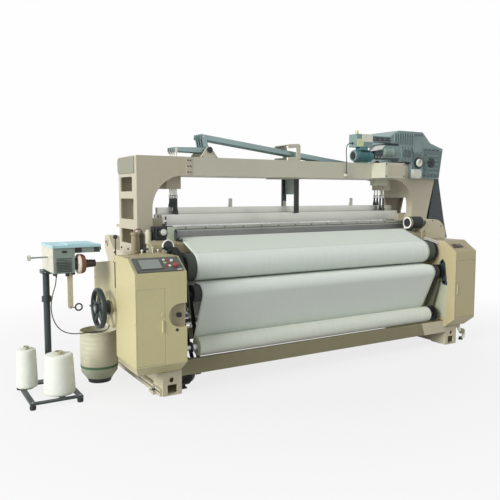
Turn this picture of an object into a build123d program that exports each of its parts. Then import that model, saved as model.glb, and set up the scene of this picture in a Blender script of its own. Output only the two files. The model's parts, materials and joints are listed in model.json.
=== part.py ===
from build123d import *
from math import acos, atan2, cos, hypot, pi, radians, sin, tan
import os

# Power loom with a dobby on its gantry and a weft feeder stand beside it.
# Millimetres. X runs along the machine, to the weaver's right. Y runs from the cloth
# side to the warp side. Z is up. The origin is on the floor, in the middle of the four
# anchor bolts.

# Frame
loom_half = 1650            # outer face of each foot, from the middle of the loom
foot_width = 160
foot_length = 190
foot_height = 190
plate_inset = 30            # outer face of the side plate, in from the foot's
plate_thickness = 100
frame_front = -750
frame_back = 750
frame_top = 1050
cast_wall = 14
beam_wall = 12
crossbeam_z = (140, 260)
crossbeam_depth = 50
rear_beam_y = (600, 690)
rear_beam_z = (60, 180)
anchor_reach = 22           # anchor bolts, out from the feet
anchor_y = 620
anchor_hole_r = 9
pad_height = 22
pad_reach = 24

# Fits and gaps
running_fit = 0.05          # radial, for a shaft in its bearing
seat_gap = 0.3              # between pieces on curved or moving faces
guide_gap = 0.4
door_gap = 0.8
wall_hole_gap = 6           # radial, where a shaft passes a sheet wall

# Gantry
gantry_front = -250
gantry_back = 200
gantry_top = 1875
beam_bottom = 1715
corner_radius = 285
joint_reach = 25            # straight part of each post beyond its corner
left_post_inset = 135       # inner face of each post, in from the foot's outer face
right_post_inset = 175
dobby_seat = 1727
dobby_seat_inset = 240      # from the foot's outer face
right_post_base_reach = 50  # out from the foot's outer face
right_post_top_reach = 165

# Cabinets
cabinet_front = -895
cabinet_back = -450
cabinet_base = 200
cabinet_lip = 295
cabinet_shoulder = 982
cabinet_top = 1085
cabinet_crest = -744
sheet = 4
left_cabinet_reach = 260    # outer face, out from the foot's
left_cabinet_width = 404
right_cabinet_reach = 93
right_cabinet_width = 303
left_door_width = 216
left_door_z = (305, 868)
right_door_width = 275
door_inset = 10             # from the cabinet's outer face
right_door_z = (312, 893)
notch_inset = 57            # from the left cabinet's inner face
notch_z = 656
notch_r = 90
gear_case_back = 120
gear_case_bottom = 500
gear_case_top = 1045
gear_case_drop = 70
lever_inset = 17            # from the left cabinet's outer face
lever_y = -420
lever_pivot_z = 1062
lever_pin_r = 5

# Rollers, each axis as (y, z)
friction_axis = (-585, 975)
friction_r = 112
friction_shaft_r = 28
roller_gear_r = 165
roller_gear_inset = 36      # from the left plate's inner face
roller_gear_width = 26
press_r = 40
press_shaft_r = 14
press_angle = -30           # where the press roller meets the friction roller
guide_axis = (-710, 775)
guide_r = 70
guide_shaft_r = 18
roll_axis = (-670, 335)
roll_r = 76
roll_shaft_r = 25
back_rest_axis = (670, 1100)
back_rest_r = 60
back_rest_shaft_r = 20
warp_axis = (450, 600)
warp_yarn_r = 270
warp_flange_r = 360
warp_shaft_r = 45
roller_insets = (120, 150)  # left and right, from the plates' inner faces
small_roller_insets = (135, 175)
cloth_insets = (200, 240)
shaft_inset = 20            # from the plates' outer faces
web_thickness = 2
fell = (-345, 1195)

# Sley, reed and drive
sley_axis = (-250, 450)
sley_shaft_r = 28
sley_insets = (175, 210)    # from the plates' inner faces
sley_beam_y = (-335, -255)
sley_beam_z = (1080, 1165)
reed_cap_z = (1245, 1284)
reed_cap_half = 32
main_axis = (-334, 660)
main_shaft_r = 25
handwheel_gap = 100         # wheel's middle, out from the gear case
handwheel_r = 162
pulley_inset = 230          # from the left plate's inner face
pulley_width = 40
pulley_r = 120
motor_axis = (-570, 125)
motor_inset = 40            # from the left plate's inner face
motor_length = 170
motor_r = 115
motor_pulley_r = 45
motor_shaft_r = 14
belt_thickness = 6

# Heald frames and their linkage
frame_count = 4
first_frame_y = -115
frame_pitch = 45
heald_thickness = 24
heald_inset = 135           # end of each frame, in from the left post
heald_height = 552
heald_tops = (1382, 1382, 1440, 1440)
heald_rail = 94
heald_stile = 34
tongue = 18
comb_z = (960, 1350)
left_rod_inset = 140        # from the ends of the heald frames
right_rod_inset = 197.5
left_pivot_height = 72      # above the gantry's top
left_arm = 300
left_pin_reach = (-35, 119) # from the left pivot to where the link bar hangs
right_pivot_height = 6.5    # above the gantry's top
right_arm = 150
crank_thickness = 14
crank_shaft_r = 15
bar_depth = 44
bar_thickness = 8
rod_r = 8
pin_r = 6

# Feeder stand
stand_gap = 313             # from the stand's near bar to the left cabinet
stand_width = 342
stand_y = (-526, 0)
stand_height = 50
stand_bar = 40
stand_post_inset = (122, 45) # from the stand's near bars
stand_post_r = 26
feeder_box_gap = 280        # from the left cabinet
feeder_box_width = 160
feeder_box_y = (-350, 30)
feeder_box_z = (955, 1165)
feeder_drum_axis = (-310, 1018)
feeder_drum_r = 78
cone_spots = ((117, -381, 118), (302, -101, 82))  # in from the near bar, y and radius
cone_height = 300

# Water vessel
vessel_gap = 30             # its middle, out from the left cabinet
vessel_y = -80
vessel_r = 155
vessel_foot_r = 90
vessel_top = 435
vessel_wall = 4

plate_out = loom_half - plate_inset
plate_in = plate_out - plate_thickness
foot_inner = loom_half - foot_width
anchor_x = loom_half + anchor_reach
shaft_half = plate_out - shaft_inset
shaft_ends = (-shaft_half, shaft_half)


def between_plates(insets):
    """X limits of something that ends short of the two plates' inner faces."""
    return (-plate_in + insets[0], plate_in - insets[1])


roller_x = between_plates(roller_insets)
small_roller_x = between_plates(small_roller_insets)
cloth_x = between_plates(cloth_insets)
sley_x = between_plates(sley_insets)
roller_gear_x = (-plate_in + roller_gear_inset, -plate_in + roller_gear_inset + roller_gear_width)
pulley_x = (-plate_in + pulley_inset, -plate_in + pulley_inset + pulley_width)
motor_x = (-plate_in + motor_inset, -plate_in + motor_inset + motor_length)
left_post_inner = -loom_half + left_post_inset
right_post_inner = loom_half - right_post_inset
right_post_base_outer = loom_half + right_post_base_reach
right_post_top_outer = loom_half + right_post_top_reach
dobby_seat_x = loom_half - dobby_seat_inset
dobby_drive_x = dobby_seat_x - 760
left_cabinet_outer = -loom_half - left_cabinet_reach
left_cabinet_x = (left_cabinet_outer, left_cabinet_outer + left_cabinet_width)
right_cabinet_outer = loom_half + right_cabinet_reach
right_cabinet_x = (right_cabinet_outer - right_cabinet_width, right_cabinet_outer)
gland = (left_cabinet_outer + 38, -149)
left_door_edge = left_cabinet_outer + door_inset
left_door_x = (left_door_edge, left_door_edge + left_door_width)
right_door_edge = right_cabinet_outer - door_inset
right_door_x = (right_door_edge - right_door_width, right_door_edge)
notch_axis = (left_cabinet_x[1] - notch_inset, notch_z)
lever_spot = (left_cabinet_outer + lever_inset, lever_y)
handwheel_x = left_cabinet_outer - handwheel_gap
stand_x = (left_cabinet_outer - stand_gap - stand_width, left_cabinet_outer - stand_gap)
stand_post = (stand_x[1] - stand_post_inset[0], stand_y[1] - stand_post_inset[1])
feeder_box_x = (left_cabinet_outer - feeder_box_gap - feeder_box_width,
                left_cabinet_outer - feeder_box_gap)
cones = [(stand_x[1] - inset, y, r) for inset, y, r in cone_spots]
vessel_spot = (left_cabinet_outer - vessel_gap, vessel_y)
heald_half = -left_post_inner - heald_inset
left_rod_x = -heald_half + left_rod_inset
right_rod_x = heald_half - right_rod_inset
left_pivot = (left_rod_x + left_arm, gantry_top + left_pivot_height)
left_pin = (left_pivot[0] + left_pin_reach[0], left_pivot[1] + left_pin_reach[1])
arm_ratio = right_arm / left_arm
right_pivot = (right_rod_x - right_arm, gantry_top + right_pivot_height)
right_pin = (right_pivot[0] - arm_ratio * left_pin_reach[0],
             right_pivot[1] - arm_ratio * left_pin_reach[1])
corner_z = beam_bottom - corner_radius
left_corner_x = left_post_inner + corner_radius
right_corner_x = right_post_inner - corner_radius
left_joint_x = left_corner_x + joint_reach
right_joint_x = right_corner_x - joint_reach
heald_ys = [first_frame_y + i * frame_pitch for i in range(frame_count)]
heald_front = heald_ys[0] - heald_thickness / 2
heald_rear = heald_ys[-1] + heald_thickness / 2
mechanism_y = (heald_front - 13, heald_rear + 20)
press_reach = friction_r + press_r + web_thickness + 2 * seat_gap
press_axis = (
    friction_axis[0] + press_reach * cos(radians(press_angle)),
    friction_axis[1] + press_reach * sin(radians(press_angle)),
)


def block(x, y, z, mode=Mode.ADD):
    """A box between pairs of limits."""
    with Locations(((x[0] + x[1]) / 2, (y[0] + y[1]) / 2, (z[0] + z[1]) / 2)):
        Box(x[1] - x[0], y[1] - y[0], z[1] - z[0], mode=mode)


def bar_x(x, axis, r, mode=Mode.ADD):
    """A round bar along X; axis is (y, z)."""
    with Locations(Location(((x[0] + x[1]) / 2, axis[0], axis[1]), (0, 90, 0))):
        Cylinder(r, x[1] - x[0], mode=mode)


def bar_y(y, axis, r, mode=Mode.ADD):
    """A round bar along Y; axis is (x, z)."""
    with Locations(Location((axis[0], (y[0] + y[1]) / 2, axis[1]), (90, 0, 0))):
        Cylinder(r, y[1] - y[0], mode=mode)


def bar_z(z, spot, r, mode=Mode.ADD):
    """An upright round bar; spot is (x, y)."""
    with Locations((spot[0], spot[1], (z[0] + z[1]) / 2)):
        Cylinder(r, z[1] - z[0], mode=mode)


def slab_x(x, points, mode=Mode.ADD, corner=0):
    """A (y, z) outline carried along X, its corners rounded where asked."""
    with BuildSketch(Plane.YZ.offset(x[0])) as outline:
        with BuildLine():
            Polyline(*points, close=True)
        make_face()
        if corner:
            fillet(outline.vertices(), corner)
    extrude(outline.sketch, amount=x[1] - x[0], mode=mode)


def slab_y(y, points, mode=Mode.ADD, corner=0):
    """An (x, z) outline carried along Y, its corners rounded where asked."""
    with BuildSketch(Plane.XZ.offset(-y[1])) as outline:
        with BuildLine():
            Polyline(*points, close=True)
        make_face()
        if corner:
            fillet(outline.vertices(), corner)
    extrude(outline.sketch, amount=y[1] - y[0], mode=mode)


def both(side, near, far):
    """The X limits of something that lies from near to far on one side."""
    return sorted((side * near, side * far))


def save(piece, name):
    piece.part.label = name
    export_step(piece.part, f"parts/{name}.step")


os.makedirs("parts", exist_ok=True)

# Side frames: cast plates on hollow feet, with bearing bosses and lightening windows.
# The comb that the heald frames slide in is cast on.
bearings = (
    (friction_axis, friction_shaft_r),
    (guide_axis, guide_shaft_r),
    (roll_axis, roll_shaft_r),
    (back_rest_axis, back_rest_shaft_r),
    (warp_axis, warp_shaft_r),
    (sley_axis, sley_shaft_r),
    (main_axis, main_shaft_r),
)
boss_wall = 16
boss_stand = 10
plate_outline = [
    (frame_front + 2, 0), (frame_back, 0), (frame_back, 110), (590, 330), (590, 860),
    (740, 1040), (740, 1165), (610, 1165), (480, frame_top), (-690, frame_top),
    (frame_front + 2, 990),
]
front_window = [(-560, 235), (-350, 235), (-350, 480), (-430, 700), (-590, 690), (-610, 420)]
rear_window = [(-120, 180), (190, 180), (300, 420), (210, 760), (60, 930), (-120, 860)]


def side_frame(side):
    """One side frame; side is -1 on the left and 1 on the right."""
    plate = both(side, plate_in, plate_out)
    foot = both(side, foot_inner, loom_half)
    middle = side * (foot_inner + foot_width / 2)
    slab_x(plate, plate_outline, corner=18)
    slab_x(plate, front_window, Mode.SUBTRACT, corner=40)
    slab_x(plate, rear_window, Mode.SUBTRACT, corner=40)
    block(foot, (frame_front, frame_front + foot_length), (0, foot_height))
    block(foot, (frame_back - foot_length, frame_back), (0, foot_height))
    block((foot[0] + cast_wall, foot[1] - cast_wall),
          (frame_front + cast_wall, frame_front + foot_length - cast_wall),
          (cast_wall, foot_height - 40), Mode.SUBTRACT)
    opening = (frame_front - 1, frame_front + cast_wall + 1)
    bar_y(opening, (middle + 5 * side, 122), 20, Mode.SUBTRACT)
    block((middle - 40, middle + 40), opening, (8, 85), Mode.SUBTRACT)
    for y in (-anchor_y, anchor_y):
        block(both(side, loom_half - 1, anchor_x + pad_reach), (y - 45, y + 45), (0, pad_height))
        bar_z((-1, pad_height + 1), (side * anchor_x, y), anchor_hole_r, Mode.SUBTRACT)
    for axis, r in bearings:
        bar_x((plate[0] - boss_stand, plate[1] + boss_stand), axis, r + boss_wall)
        bar_x((plate[0] - boss_stand - 1, plate[1] + boss_stand + 1), axis, r + running_fit,
              Mode.SUBTRACT)
    comb_y = (heald_front - 14, heald_rear + 14)
    post_inner = -left_post_inner if side < 0 else right_post_inner
    block(both(side, heald_half + 2, plate_in + 1), comb_y, (comb_z[0], frame_top))
    block(both(side, heald_half + 2, post_inner - 1), comb_y, (frame_top - 1, comb_z[1]))
    half_slot = heald_thickness / 2 + guide_gap
    for y in heald_ys:
        block(both(side, heald_half, heald_half + tongue + 4), (y - half_slot, y + half_slot),
              (comb_z[0] - 1, comb_z[1] + 1), Mode.SUBTRACT)


with BuildPart() as side_frame_left:
    side_frame(-1)
save(side_frame_left, "side_frame_left")

with BuildPart() as side_frame_right:
    side_frame(1)
    # Stand-offs that carry the cabinet
    for y, z in ((-690, 400), (-690, 640), (-700, 920), (-500, 880)):
        block((right_cabinet_x[0] + sheet, plate_in + 1), (y - 22, y + 22), (z - 22, z + 22))
    # Curved gear cover on the frame's top, with the selvedge drum before the reed
    with BuildSketch(Plane.XZ.offset(255)):
        with BuildLine():
            Polyline(*[(loom_half + x, frame_top + z) for x, z in (
                (-40, 240), (-130, 230), (-213, 140), (-213, 0), (140, 0), (145, 70))])
            ThreePointArc(*[(loom_half + x, frame_top + z) for x, z in (
                (145, 70), (88, 193), (-40, 240))])
        make_face()
    extrude(amount=190)
    bar_x((loom_half - 395, loom_half - 212), (-405, frame_top + 211), 62)
    bar_x((loom_half - 220, loom_half - 90), (-405, frame_top + 195), 32)
    # Water pipe with an elbow, a valve body and its handle
    riser = loom_half + 140
    bar_x((loom_half - 1, riser), (-660, 150), 16)
    bar_z((150, 262), (riser, -660), 16)
    with Locations((riser, -660, 150)):
        Sphere(20)
    block((riser - 24, riser + 24), (-684, -636), (196, 240))
    bar_x((riser + 22, riser + 52), (-660, 218), 9)
    block((riser + 48, riser + 58), (-700, -620), (208, 228))
save(side_frame_right, "side_frame_right")

# Crossbeams between the feet: a channel in front, a rectangular tube behind.
with BuildPart() as front_crossbeam:
    web_back = frame_front + beam_wall
    block((-foot_inner, foot_inner), (frame_front, frame_front + crossbeam_depth), crossbeam_z)
    block((-foot_inner - 1, foot_inner + 1), (web_back, frame_front + crossbeam_depth + 1),
          (crossbeam_z[0] + beam_wall, crossbeam_z[1] - beam_wall), Mode.SUBTRACT)
save(front_crossbeam, "front_crossbeam")

with BuildPart() as rear_crossbeam:
    block((-foot_inner, foot_inner), rear_beam_y, rear_beam_z)
    block((-foot_inner - 1, foot_inner + 1), (rear_beam_y[0] + 8, rear_beam_y[1] - 8),
          (rear_beam_z[0] + 8, rear_beam_z[1] - 8), Mode.SUBTRACT)
save(rear_crossbeam, "rear_crossbeam")

# Gantry posts: hollow castings that curve into the beam, open at the side like a ladder.
side_windows = (
    ((-140, 150), (1580, 1702)),
    ((-170, 155), (1345, 1520)),
    ((-160, 150), (1140, 1262)),
)


def post_outline(side):
    """Closed outline of a post, in (x, z)."""
    if side < 0:
        foot_corner, corner, joint = left_post_inner, left_corner_x, left_joint_x
        outside = [(joint, gantry_top), (-loom_half, gantry_top), (-loom_half, frame_top)]
    else:
        foot_corner, corner, joint = right_post_inner, right_corner_x, right_joint_x
        outside = [(joint, gantry_top), (dobby_seat_x, gantry_top), (dobby_seat_x, dobby_seat),
                   (right_post_top_outer, dobby_seat), (right_post_base_outer + 10, 1320),
                   (right_post_base_outer, frame_top)]
    turn = sin(radians(45)) * corner_radius
    Polyline((corner, beam_bottom), (joint, beam_bottom), *outside, (foot_corner, frame_top),
             (foot_corner, corner_z))
    ThreePointArc((foot_corner, corner_z), (corner + side * turn, corner_z + turn),
                  (corner, beam_bottom))


def post(side, joint):
    """A hollow post with open side windows."""
    with BuildSketch(Plane.XZ.offset(-gantry_back)) as outside:
        with BuildLine():
            post_outline(side)
        make_face()
    extrude(outside.sketch, amount=gantry_back - gantry_front)
    with BuildSketch(Plane.XZ.offset(-gantry_back + cast_wall)) as inside:
        with BuildLine():
            post_outline(side)
        make_face()
        offset(amount=-cast_wall, mode=Mode.REPLACE)
    extrude(inside.sketch, amount=gantry_back - gantry_front - 2 * cast_wall, mode=Mode.SUBTRACT)
    # The joint with the beam is open
    block(sorted((joint, joint + side * (cast_wall + 1))),
          (gantry_front + cast_wall, gantry_back - cast_wall),
          (beam_bottom + cast_wall, gantry_top - cast_wall), Mode.SUBTRACT)
    for y, z in side_windows:
        block(both(side, right_post_inner - 35, right_post_top_outer + 60), y, z, Mode.SUBTRACT)


def rod_holes(rod_x, z):
    """Guide holes of the lift rods."""
    for y in heald_ys:
        bar_z(z, (rod_x, y), rod_r + seat_gap, Mode.SUBTRACT)


guide_y = (heald_ys[0] - 24, heald_ys[-1] + 24)
with BuildPart() as gantry_post_left:
    post(-1, left_joint_x)
    slab_y(guide_y, [(left_rod_x - 100, beam_bottom - 113), (left_joint_x - 1, beam_bottom - 113),
                     (left_joint_x - 1, beam_bottom + 1), (left_rod_x - 50, beam_bottom - 2),
                     (left_rod_x - 100, beam_bottom - 18)])
    block((-loom_half, left_post_inner), (gantry_front + 15, gantry_back + 90), (1267, 1290))
    rod_holes(left_rod_x, (beam_bottom - 115, gantry_top + 1))
save(gantry_post_left, "gantry_post_left")

with BuildPart() as gantry_post_right:
    post(1, right_joint_x)
    guide_end = right_rod_x + 79.5
    slab_y(guide_y, [(right_joint_x + 1, beam_bottom - 115), (guide_end, beam_bottom - 115),
                     (guide_end, beam_bottom - 9), (guide_end - 47, beam_bottom),
                     (right_joint_x + 1, beam_bottom + 1)])
    rod_holes(right_rod_x, (beam_bottom - 117, beam_bottom + cast_wall + 1))
    block((right_joint_x - 1, right_rod_x + 34), mechanism_y, (gantry_top - cast_wall - 1, gantry_top + 1),
          Mode.SUBTRACT)
save(gantry_post_right, "gantry_post_right")

# Gantry beam with the crank pedestals, their shafts, the middle guide and its brackets.
ears = ((-168, -148), (58, 78))
window_start = 300


def pedestal(pivot, half_base):
    """Two ears with the shaft that the cranks turn on."""
    for y in ears:
        slab_y(y, [(pivot[0] - half_base, gantry_top), (pivot[0] + half_base, gantry_top),
                   (pivot[0] + 28, pivot[1] + 10), (pivot[0] + 12, pivot[1] + 28),
                   (pivot[0] - 12, pivot[1] + 28), (pivot[0] - 28, pivot[1] + 10)])
    bar_y((ears[0][0] - 6, ears[1][1] + 6), pivot, crank_shaft_r)


with BuildPart() as gantry_beam:
    block((left_joint_x, right_joint_x), (gantry_front, gantry_back), (beam_bottom, gantry_top))
    block((left_joint_x - 1, right_joint_x + 1), (gantry_front + beam_wall, gantry_back - beam_wall),
          (beam_bottom + beam_wall, gantry_top - beam_wall), Mode.SUBTRACT)
    block((window_start, right_joint_x + 1), mechanism_y, (gantry_top - beam_wall - 1, gantry_top + 1),
          Mode.SUBTRACT)
    pedestal(left_pivot, 90)
    pedestal(right_pivot, 55)
    # Middle guide: a plate under the beam and a bar before and behind the heald frames
    block((-190, 70), (-170, 80), (beam_bottom - 12, beam_bottom))
    block((0, 40), (heald_front - 28, heald_front - 1), (1374, beam_bottom - 10))
    block((-20, 20), (heald_rear + 1, heald_rear + 28), (1420, beam_bottom - 10))
    block((6, 14), (heald_front - 10, heald_rear + 10), (1555, beam_bottom - 10))
    # Bracket over the link bars: a back and a front plate shaped like a C, and a roof
    for y in ((-165, -157), (70, 78)):
        slab_y(y, [(x, gantry_top + z) for x, z in (
            (50, 0), (-95, 0), (-95, 35), (5, 43), (5, 127), (-95, 120), (-95, 158),
            (30, 167), (50, 150))])
    slab_y((-165, 78), [(x, gantry_top + z) for x, z in (
        (20, 158), (-95, 150), (-95, 158), (20, 166))])
    # Gear housing on the beam's front, and the bracket below it
    block((right_joint_x - 275, right_joint_x - 5), (-450, gantry_front), (beam_bottom + 7, gantry_top))
    block((right_joint_x - 175, right_joint_x), (-200, -120), (beam_bottom - 65, beam_bottom))
    # Socket of the dobby's cable
    block((dobby_drive_x - 124, dobby_drive_x - 96), (-284, gantry_front),
          (beam_bottom + 20, beam_bottom + 47))
save(gantry_beam, "gantry_beam")

# Cabinets: folded sheet boxes, open at the back and below, where the side frame passes.
cabinet_outline = [
    (cabinet_front, cabinet_lip), (cabinet_front, cabinet_shoulder), (cabinet_crest, cabinet_top),
    (cabinet_back, cabinet_top), (cabinet_back, cabinet_base), (-772, cabinet_base),
]
front_sheet = (cabinet_front - 1, cabinet_front + sheet + 1)


def cabinet_shell():
    """Shells the solid drawn so far, open at the back and at the bottom."""
    open_faces = [faces().sort_by(Axis.Y)[-1], faces().sort_by(Axis.Z)[0]]
    offset(amount=-sheet, openings=open_faces)


def door_hole(x, z):
    block((x[0] - door_gap, x[1] + door_gap), front_sheet, (z[0] - door_gap, z[1] + door_gap),
          Mode.SUBTRACT)


def shaft_holes(x):
    """Holes in a cabinet's inner wall for the shafts that pass it."""
    for axis, r in bearings:
        if cabinet_front < axis[0] < cabinet_back:
            bar_x(x, axis, r + wall_hole_gap, Mode.SUBTRACT)


with BuildPart() as left_cabinet:
    slab_x(left_cabinet_x, cabinet_outline)
    slab_y((cabinet_front - 1, cabinet_back + 1), [
        (left_cabinet_x[0] - 1, cabinet_lip), (left_cabinet_x[0] + 57, cabinet_base - 1),
        (left_cabinet_x[0] - 1, cabinet_base - 1)], Mode.SUBTRACT)
    cabinet_shell()
    door_hole(left_door_x, left_door_z)
    shaft_holes((left_cabinet_x[1] - sheet - 1, left_cabinet_x[1] + 1))
    # Round-ended notch, open to the right, with a plate set back behind it
    bar_y(front_sheet, notch_axis, notch_r, Mode.SUBTRACT)
    block((notch_axis[0], left_cabinet_x[1] + 1), (cabinet_front - 1, cabinet_front + 36),
          (notch_axis[1] - notch_r, notch_axis[1] + notch_r), Mode.SUBTRACT)
    block((notch_axis[0] - notch_r - 12, left_cabinet_x[1] - 1),
          (cabinet_front + 36, cabinet_front + 40),
          (notch_axis[1] - notch_r - 12, notch_axis[1] + notch_r + 12))
    bar_y((cabinet_front + 30, cabinet_front + 50), notch_axis, 23, Mode.SUBTRACT)
    bar_y(front_sheet, (notch_axis[0] - 25, notch_z - 108), 9, Mode.SUBTRACT)
save(left_cabinet, "left_cabinet")

with BuildPart() as right_cabinet:
    slab_x(right_cabinet_x, cabinet_outline)
    cabinet_shell()
    door_hole(right_door_x, right_door_z)
    shaft_holes((right_cabinet_x[0] - 1, right_cabinet_x[0] + sheet + 1))
    block((right_cabinet_x[0] - 1, right_cabinet_x[0] + sheet + 1),
          (frame_front - 6, frame_front + crossbeam_depth + 6),
          (cabinet_base - 1, crossbeam_z[1] + 6), Mode.SUBTRACT)
save(right_cabinet, "right_cabinet")


def door(x, z, grip_x):
    """A flush door leaf with a small pull."""
    middle = (z[0] + z[1]) / 2
    block(x, (cabinet_front, cabinet_front + 3), z)
    block((grip_x - 6, grip_x + 6), (cabinet_front - 9, cabinet_front + 1),
          (middle - 45, middle + 45))


with BuildPart() as left_cabinet_door:
    door(left_door_x, left_door_z, left_door_x[1] - 18)
save(left_cabinet_door, "left_cabinet_door")

with BuildPart() as right_cabinet_door:
    door(right_door_x, right_door_z, right_door_x[0] + 18)
save(right_cabinet_door, "right_cabinet_door")

# Gear case behind the left cabinet, on the side frame's outer face, with the lever's fork.
with BuildPart() as gear_case:
    slab_x((left_cabinet_x[0], -plate_out), [
        (cabinet_back + 3, gear_case_bottom), (gear_case_back, gear_case_bottom),
        (gear_case_back, gear_case_top - gear_case_drop), (cabinet_back + 3, gear_case_top)])
    offset(amount=-6, openings=faces().sort_by(Axis.X)[-1])
    bar_x((left_cabinet_x[0] - 24, left_cabinet_x[0] + 8), main_axis, main_shaft_r + boss_wall)
    bar_x((left_cabinet_x[0] - 25, left_cabinet_x[0] + 9), main_axis, main_shaft_r + running_fit,
          Mode.SUBTRACT)
    for x in (lever_spot[0] - 14, lever_spot[0] + 7):
        block((x, x + 7), (lever_spot[1] - 14, lever_spot[1] + 14), (1034, lever_pivot_z + 14))
    bar_x((lever_spot[0] - 14, lever_spot[0] + 14), (lever_spot[1], lever_pivot_z), lever_pin_r)
    # Gland under the case for the feeder's cable
    bar_z((gear_case_bottom - 14, gear_case_bottom + 1), gland, 9)
save(gear_case, "gear_case")

with BuildPart() as hand_lever:
    bar_x((lever_spot[0] - 6.5, lever_spot[0] + 6.5), (lever_spot[1], lever_pivot_z), 12)
    bar_z((lever_pivot_z + 10, 1214), lever_spot, 5)
    with Locations((lever_spot[0], lever_spot[1], 1226)):
        Sphere(16)
    bar_x((lever_spot[0] - 7, lever_spot[0] + 7), (lever_spot[1], lever_pivot_z),
          lever_pin_r + running_fit, Mode.SUBTRACT)
save(hand_lever, "hand_lever")

# Control panel on the left cabinet's slope.
slope = atan2(cabinet_top - cabinet_shoulder, cabinet_crest - cabinet_front)
panel_plane = Plane(origin=(0, cabinet_front, cabinet_shoulder), x_dir=(1, 0, 0),
                    z_dir=(0, -sin(slope), cos(slope)))
panel_x = (left_cabinet_x[0] + 22, left_cabinet_x[1] - 18)
panel_y = (12, 170)
panel_thickness = 9
screen_thickness = 4
run_spot = (panel_x[1] - 64, 122)
stop_spot = (panel_x[1] - 56, 60)
run_r = 12
stop_neck_r = 11
stop_r = 20
button_depth = 4            # how deep a button sits in the panel's hole

with BuildPart() as control_panel:
    with BuildSketch(panel_plane):
        with Locations(((panel_x[0] + panel_x[1]) / 2, (panel_y[0] + panel_y[1]) / 2)):
            RectangleRounded(panel_x[1] - panel_x[0], panel_y[1] - panel_y[0], 8)
        with Locations(run_spot):
            Circle(run_r + seat_gap, mode=Mode.SUBTRACT)
        with Locations(stop_spot):
            Circle(stop_neck_r + seat_gap, mode=Mode.SUBTRACT)
    extrude(amount=panel_thickness)
    with BuildSketch(panel_plane.offset(panel_thickness)):
        with Locations((panel_x[0] + 120, 92)):
            RectangleRounded(170, 112, 5)
    extrude(amount=screen_thickness)
save(control_panel, "control_panel")

with BuildPart() as run_button:
    with BuildSketch(panel_plane.offset(panel_thickness - button_depth)):
        with Locations(run_spot):
            Circle(run_r)
    extrude(amount=button_depth + 8)
save(run_button, "run_button")

with BuildPart() as emergency_button:
    with BuildSketch(panel_plane.offset(panel_thickness - button_depth)):
        with Locations(stop_spot):
            Circle(stop_neck_r)
    extrude(amount=button_depth + 7)
    with BuildSketch(panel_plane.offset(panel_thickness + 6)):
        with Locations(stop_spot):
            Circle(stop_r)
    extrude(amount=13)
save(emergency_button, "emergency_button")

# Rollers of the take-up.
with BuildPart() as friction_roller:
    bar_x(roller_x, friction_axis, friction_r)
    bar_x(shaft_ends, friction_axis, friction_shaft_r)
    bar_x(roller_gear_x, friction_axis, roller_gear_r)
    bar_x((roller_gear_x[0] - 8, roller_gear_x[1] + 8), friction_axis, 52)
    with BuildSketch(Plane.YZ.offset(roller_gear_x[0] - 1)):
        with Locations(friction_axis):
            with PolarLocations(108, 6):
                Circle(26)
    extrude(amount=roller_gear_x[1] - roller_gear_x[0] + 2, mode=Mode.SUBTRACT)
save(friction_roller, "friction_roller")

arm_left_x = (-plate_in + 80, -plate_in + 102)
arm_right_x = (plate_in - 132, plate_in - 110)
with BuildPart() as press_roller:
    bar_x(small_roller_x, press_axis, press_r)
    bar_x((arm_left_x[0], arm_right_x[1]), press_axis, press_shaft_r)
save(press_roller, "press_roller")

with BuildPart() as guide_roller:
    bar_x(small_roller_x, guide_axis, guide_r)
    bar_x(shaft_ends, guide_axis, guide_shaft_r)
save(guide_roller, "guide_roller")

with BuildPart() as back_rest_roller:
    bar_x(roller_x, back_rest_axis, back_rest_r)
    bar_x(shaft_ends, back_rest_axis, back_rest_shaft_r)
save(back_rest_roller, "back_rest_roller")

with BuildPart() as cloth_roll:
    bar_x(cloth_x, roll_axis, roll_r)
    bar_x((cloth_x[0] - 45, cloth_x[1] + 45), roll_axis, 34)
    bar_x(shaft_ends, roll_axis, roll_shaft_r)
save(cloth_roll, "cloth_roll")

with BuildPart() as warp_beam:
    bar_x(cloth_x, warp_axis, warp_yarn_r)
    bar_x(shaft_ends, warp_axis, warp_shaft_r)
    for x in ((cloth_x[0] - 20, cloth_x[0]), (cloth_x[1], cloth_x[1] + 20)):
        bar_x(x, warp_axis, warp_flange_r)
        bar_x((x[0] - 12, x[1] + 12), warp_axis, 90)
save(warp_beam, "warp_beam")


def on_circle(axis, r, angle):
    return (axis[0] + r * cos(angle), axis[1] + r * sin(angle))


def arc_around(axis, r, start, end):
    """Arc about an axis, between angles in radians, either way round."""
    ThreePointArc(on_circle(axis, r, start), on_circle(axis, r, (start + end) / 2),
                  on_circle(axis, r, end))


def crossed_touch(axis_a, r_a, axis_b, r_b, side):
    """Where the tangent that crosses between two circles touches the first: its angle."""
    dy, dz = axis_b[0] - axis_a[0], axis_b[1] - axis_a[1]
    return atan2(dz, dy) + side * acos((r_a + r_b) / hypot(dy, dz))


def from_point(point, axis, r, side):
    """Angle at which a tangent from a point touches a circle."""
    dy, dz = point[0] - axis[0], point[1] - axis[1]
    return atan2(dz, dy) + side * acos(r / hypot(dy, dz))


def sheet_along(path):
    """Cloth or warp of one width and thickness along a path in the YZ plane."""
    start = Plane(origin=path.line @ 0, x_dir=(1, 0, 0), z_dir=path.line % 0)
    with BuildSketch(start) as section:
        with Locations(((cloth_x[0] + cloth_x[1]) / 2, 0)):
            Rectangle(cloth_x[1] - cloth_x[0], web_thickness)
    sweep(section.sketch, path=path.line)


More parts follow.
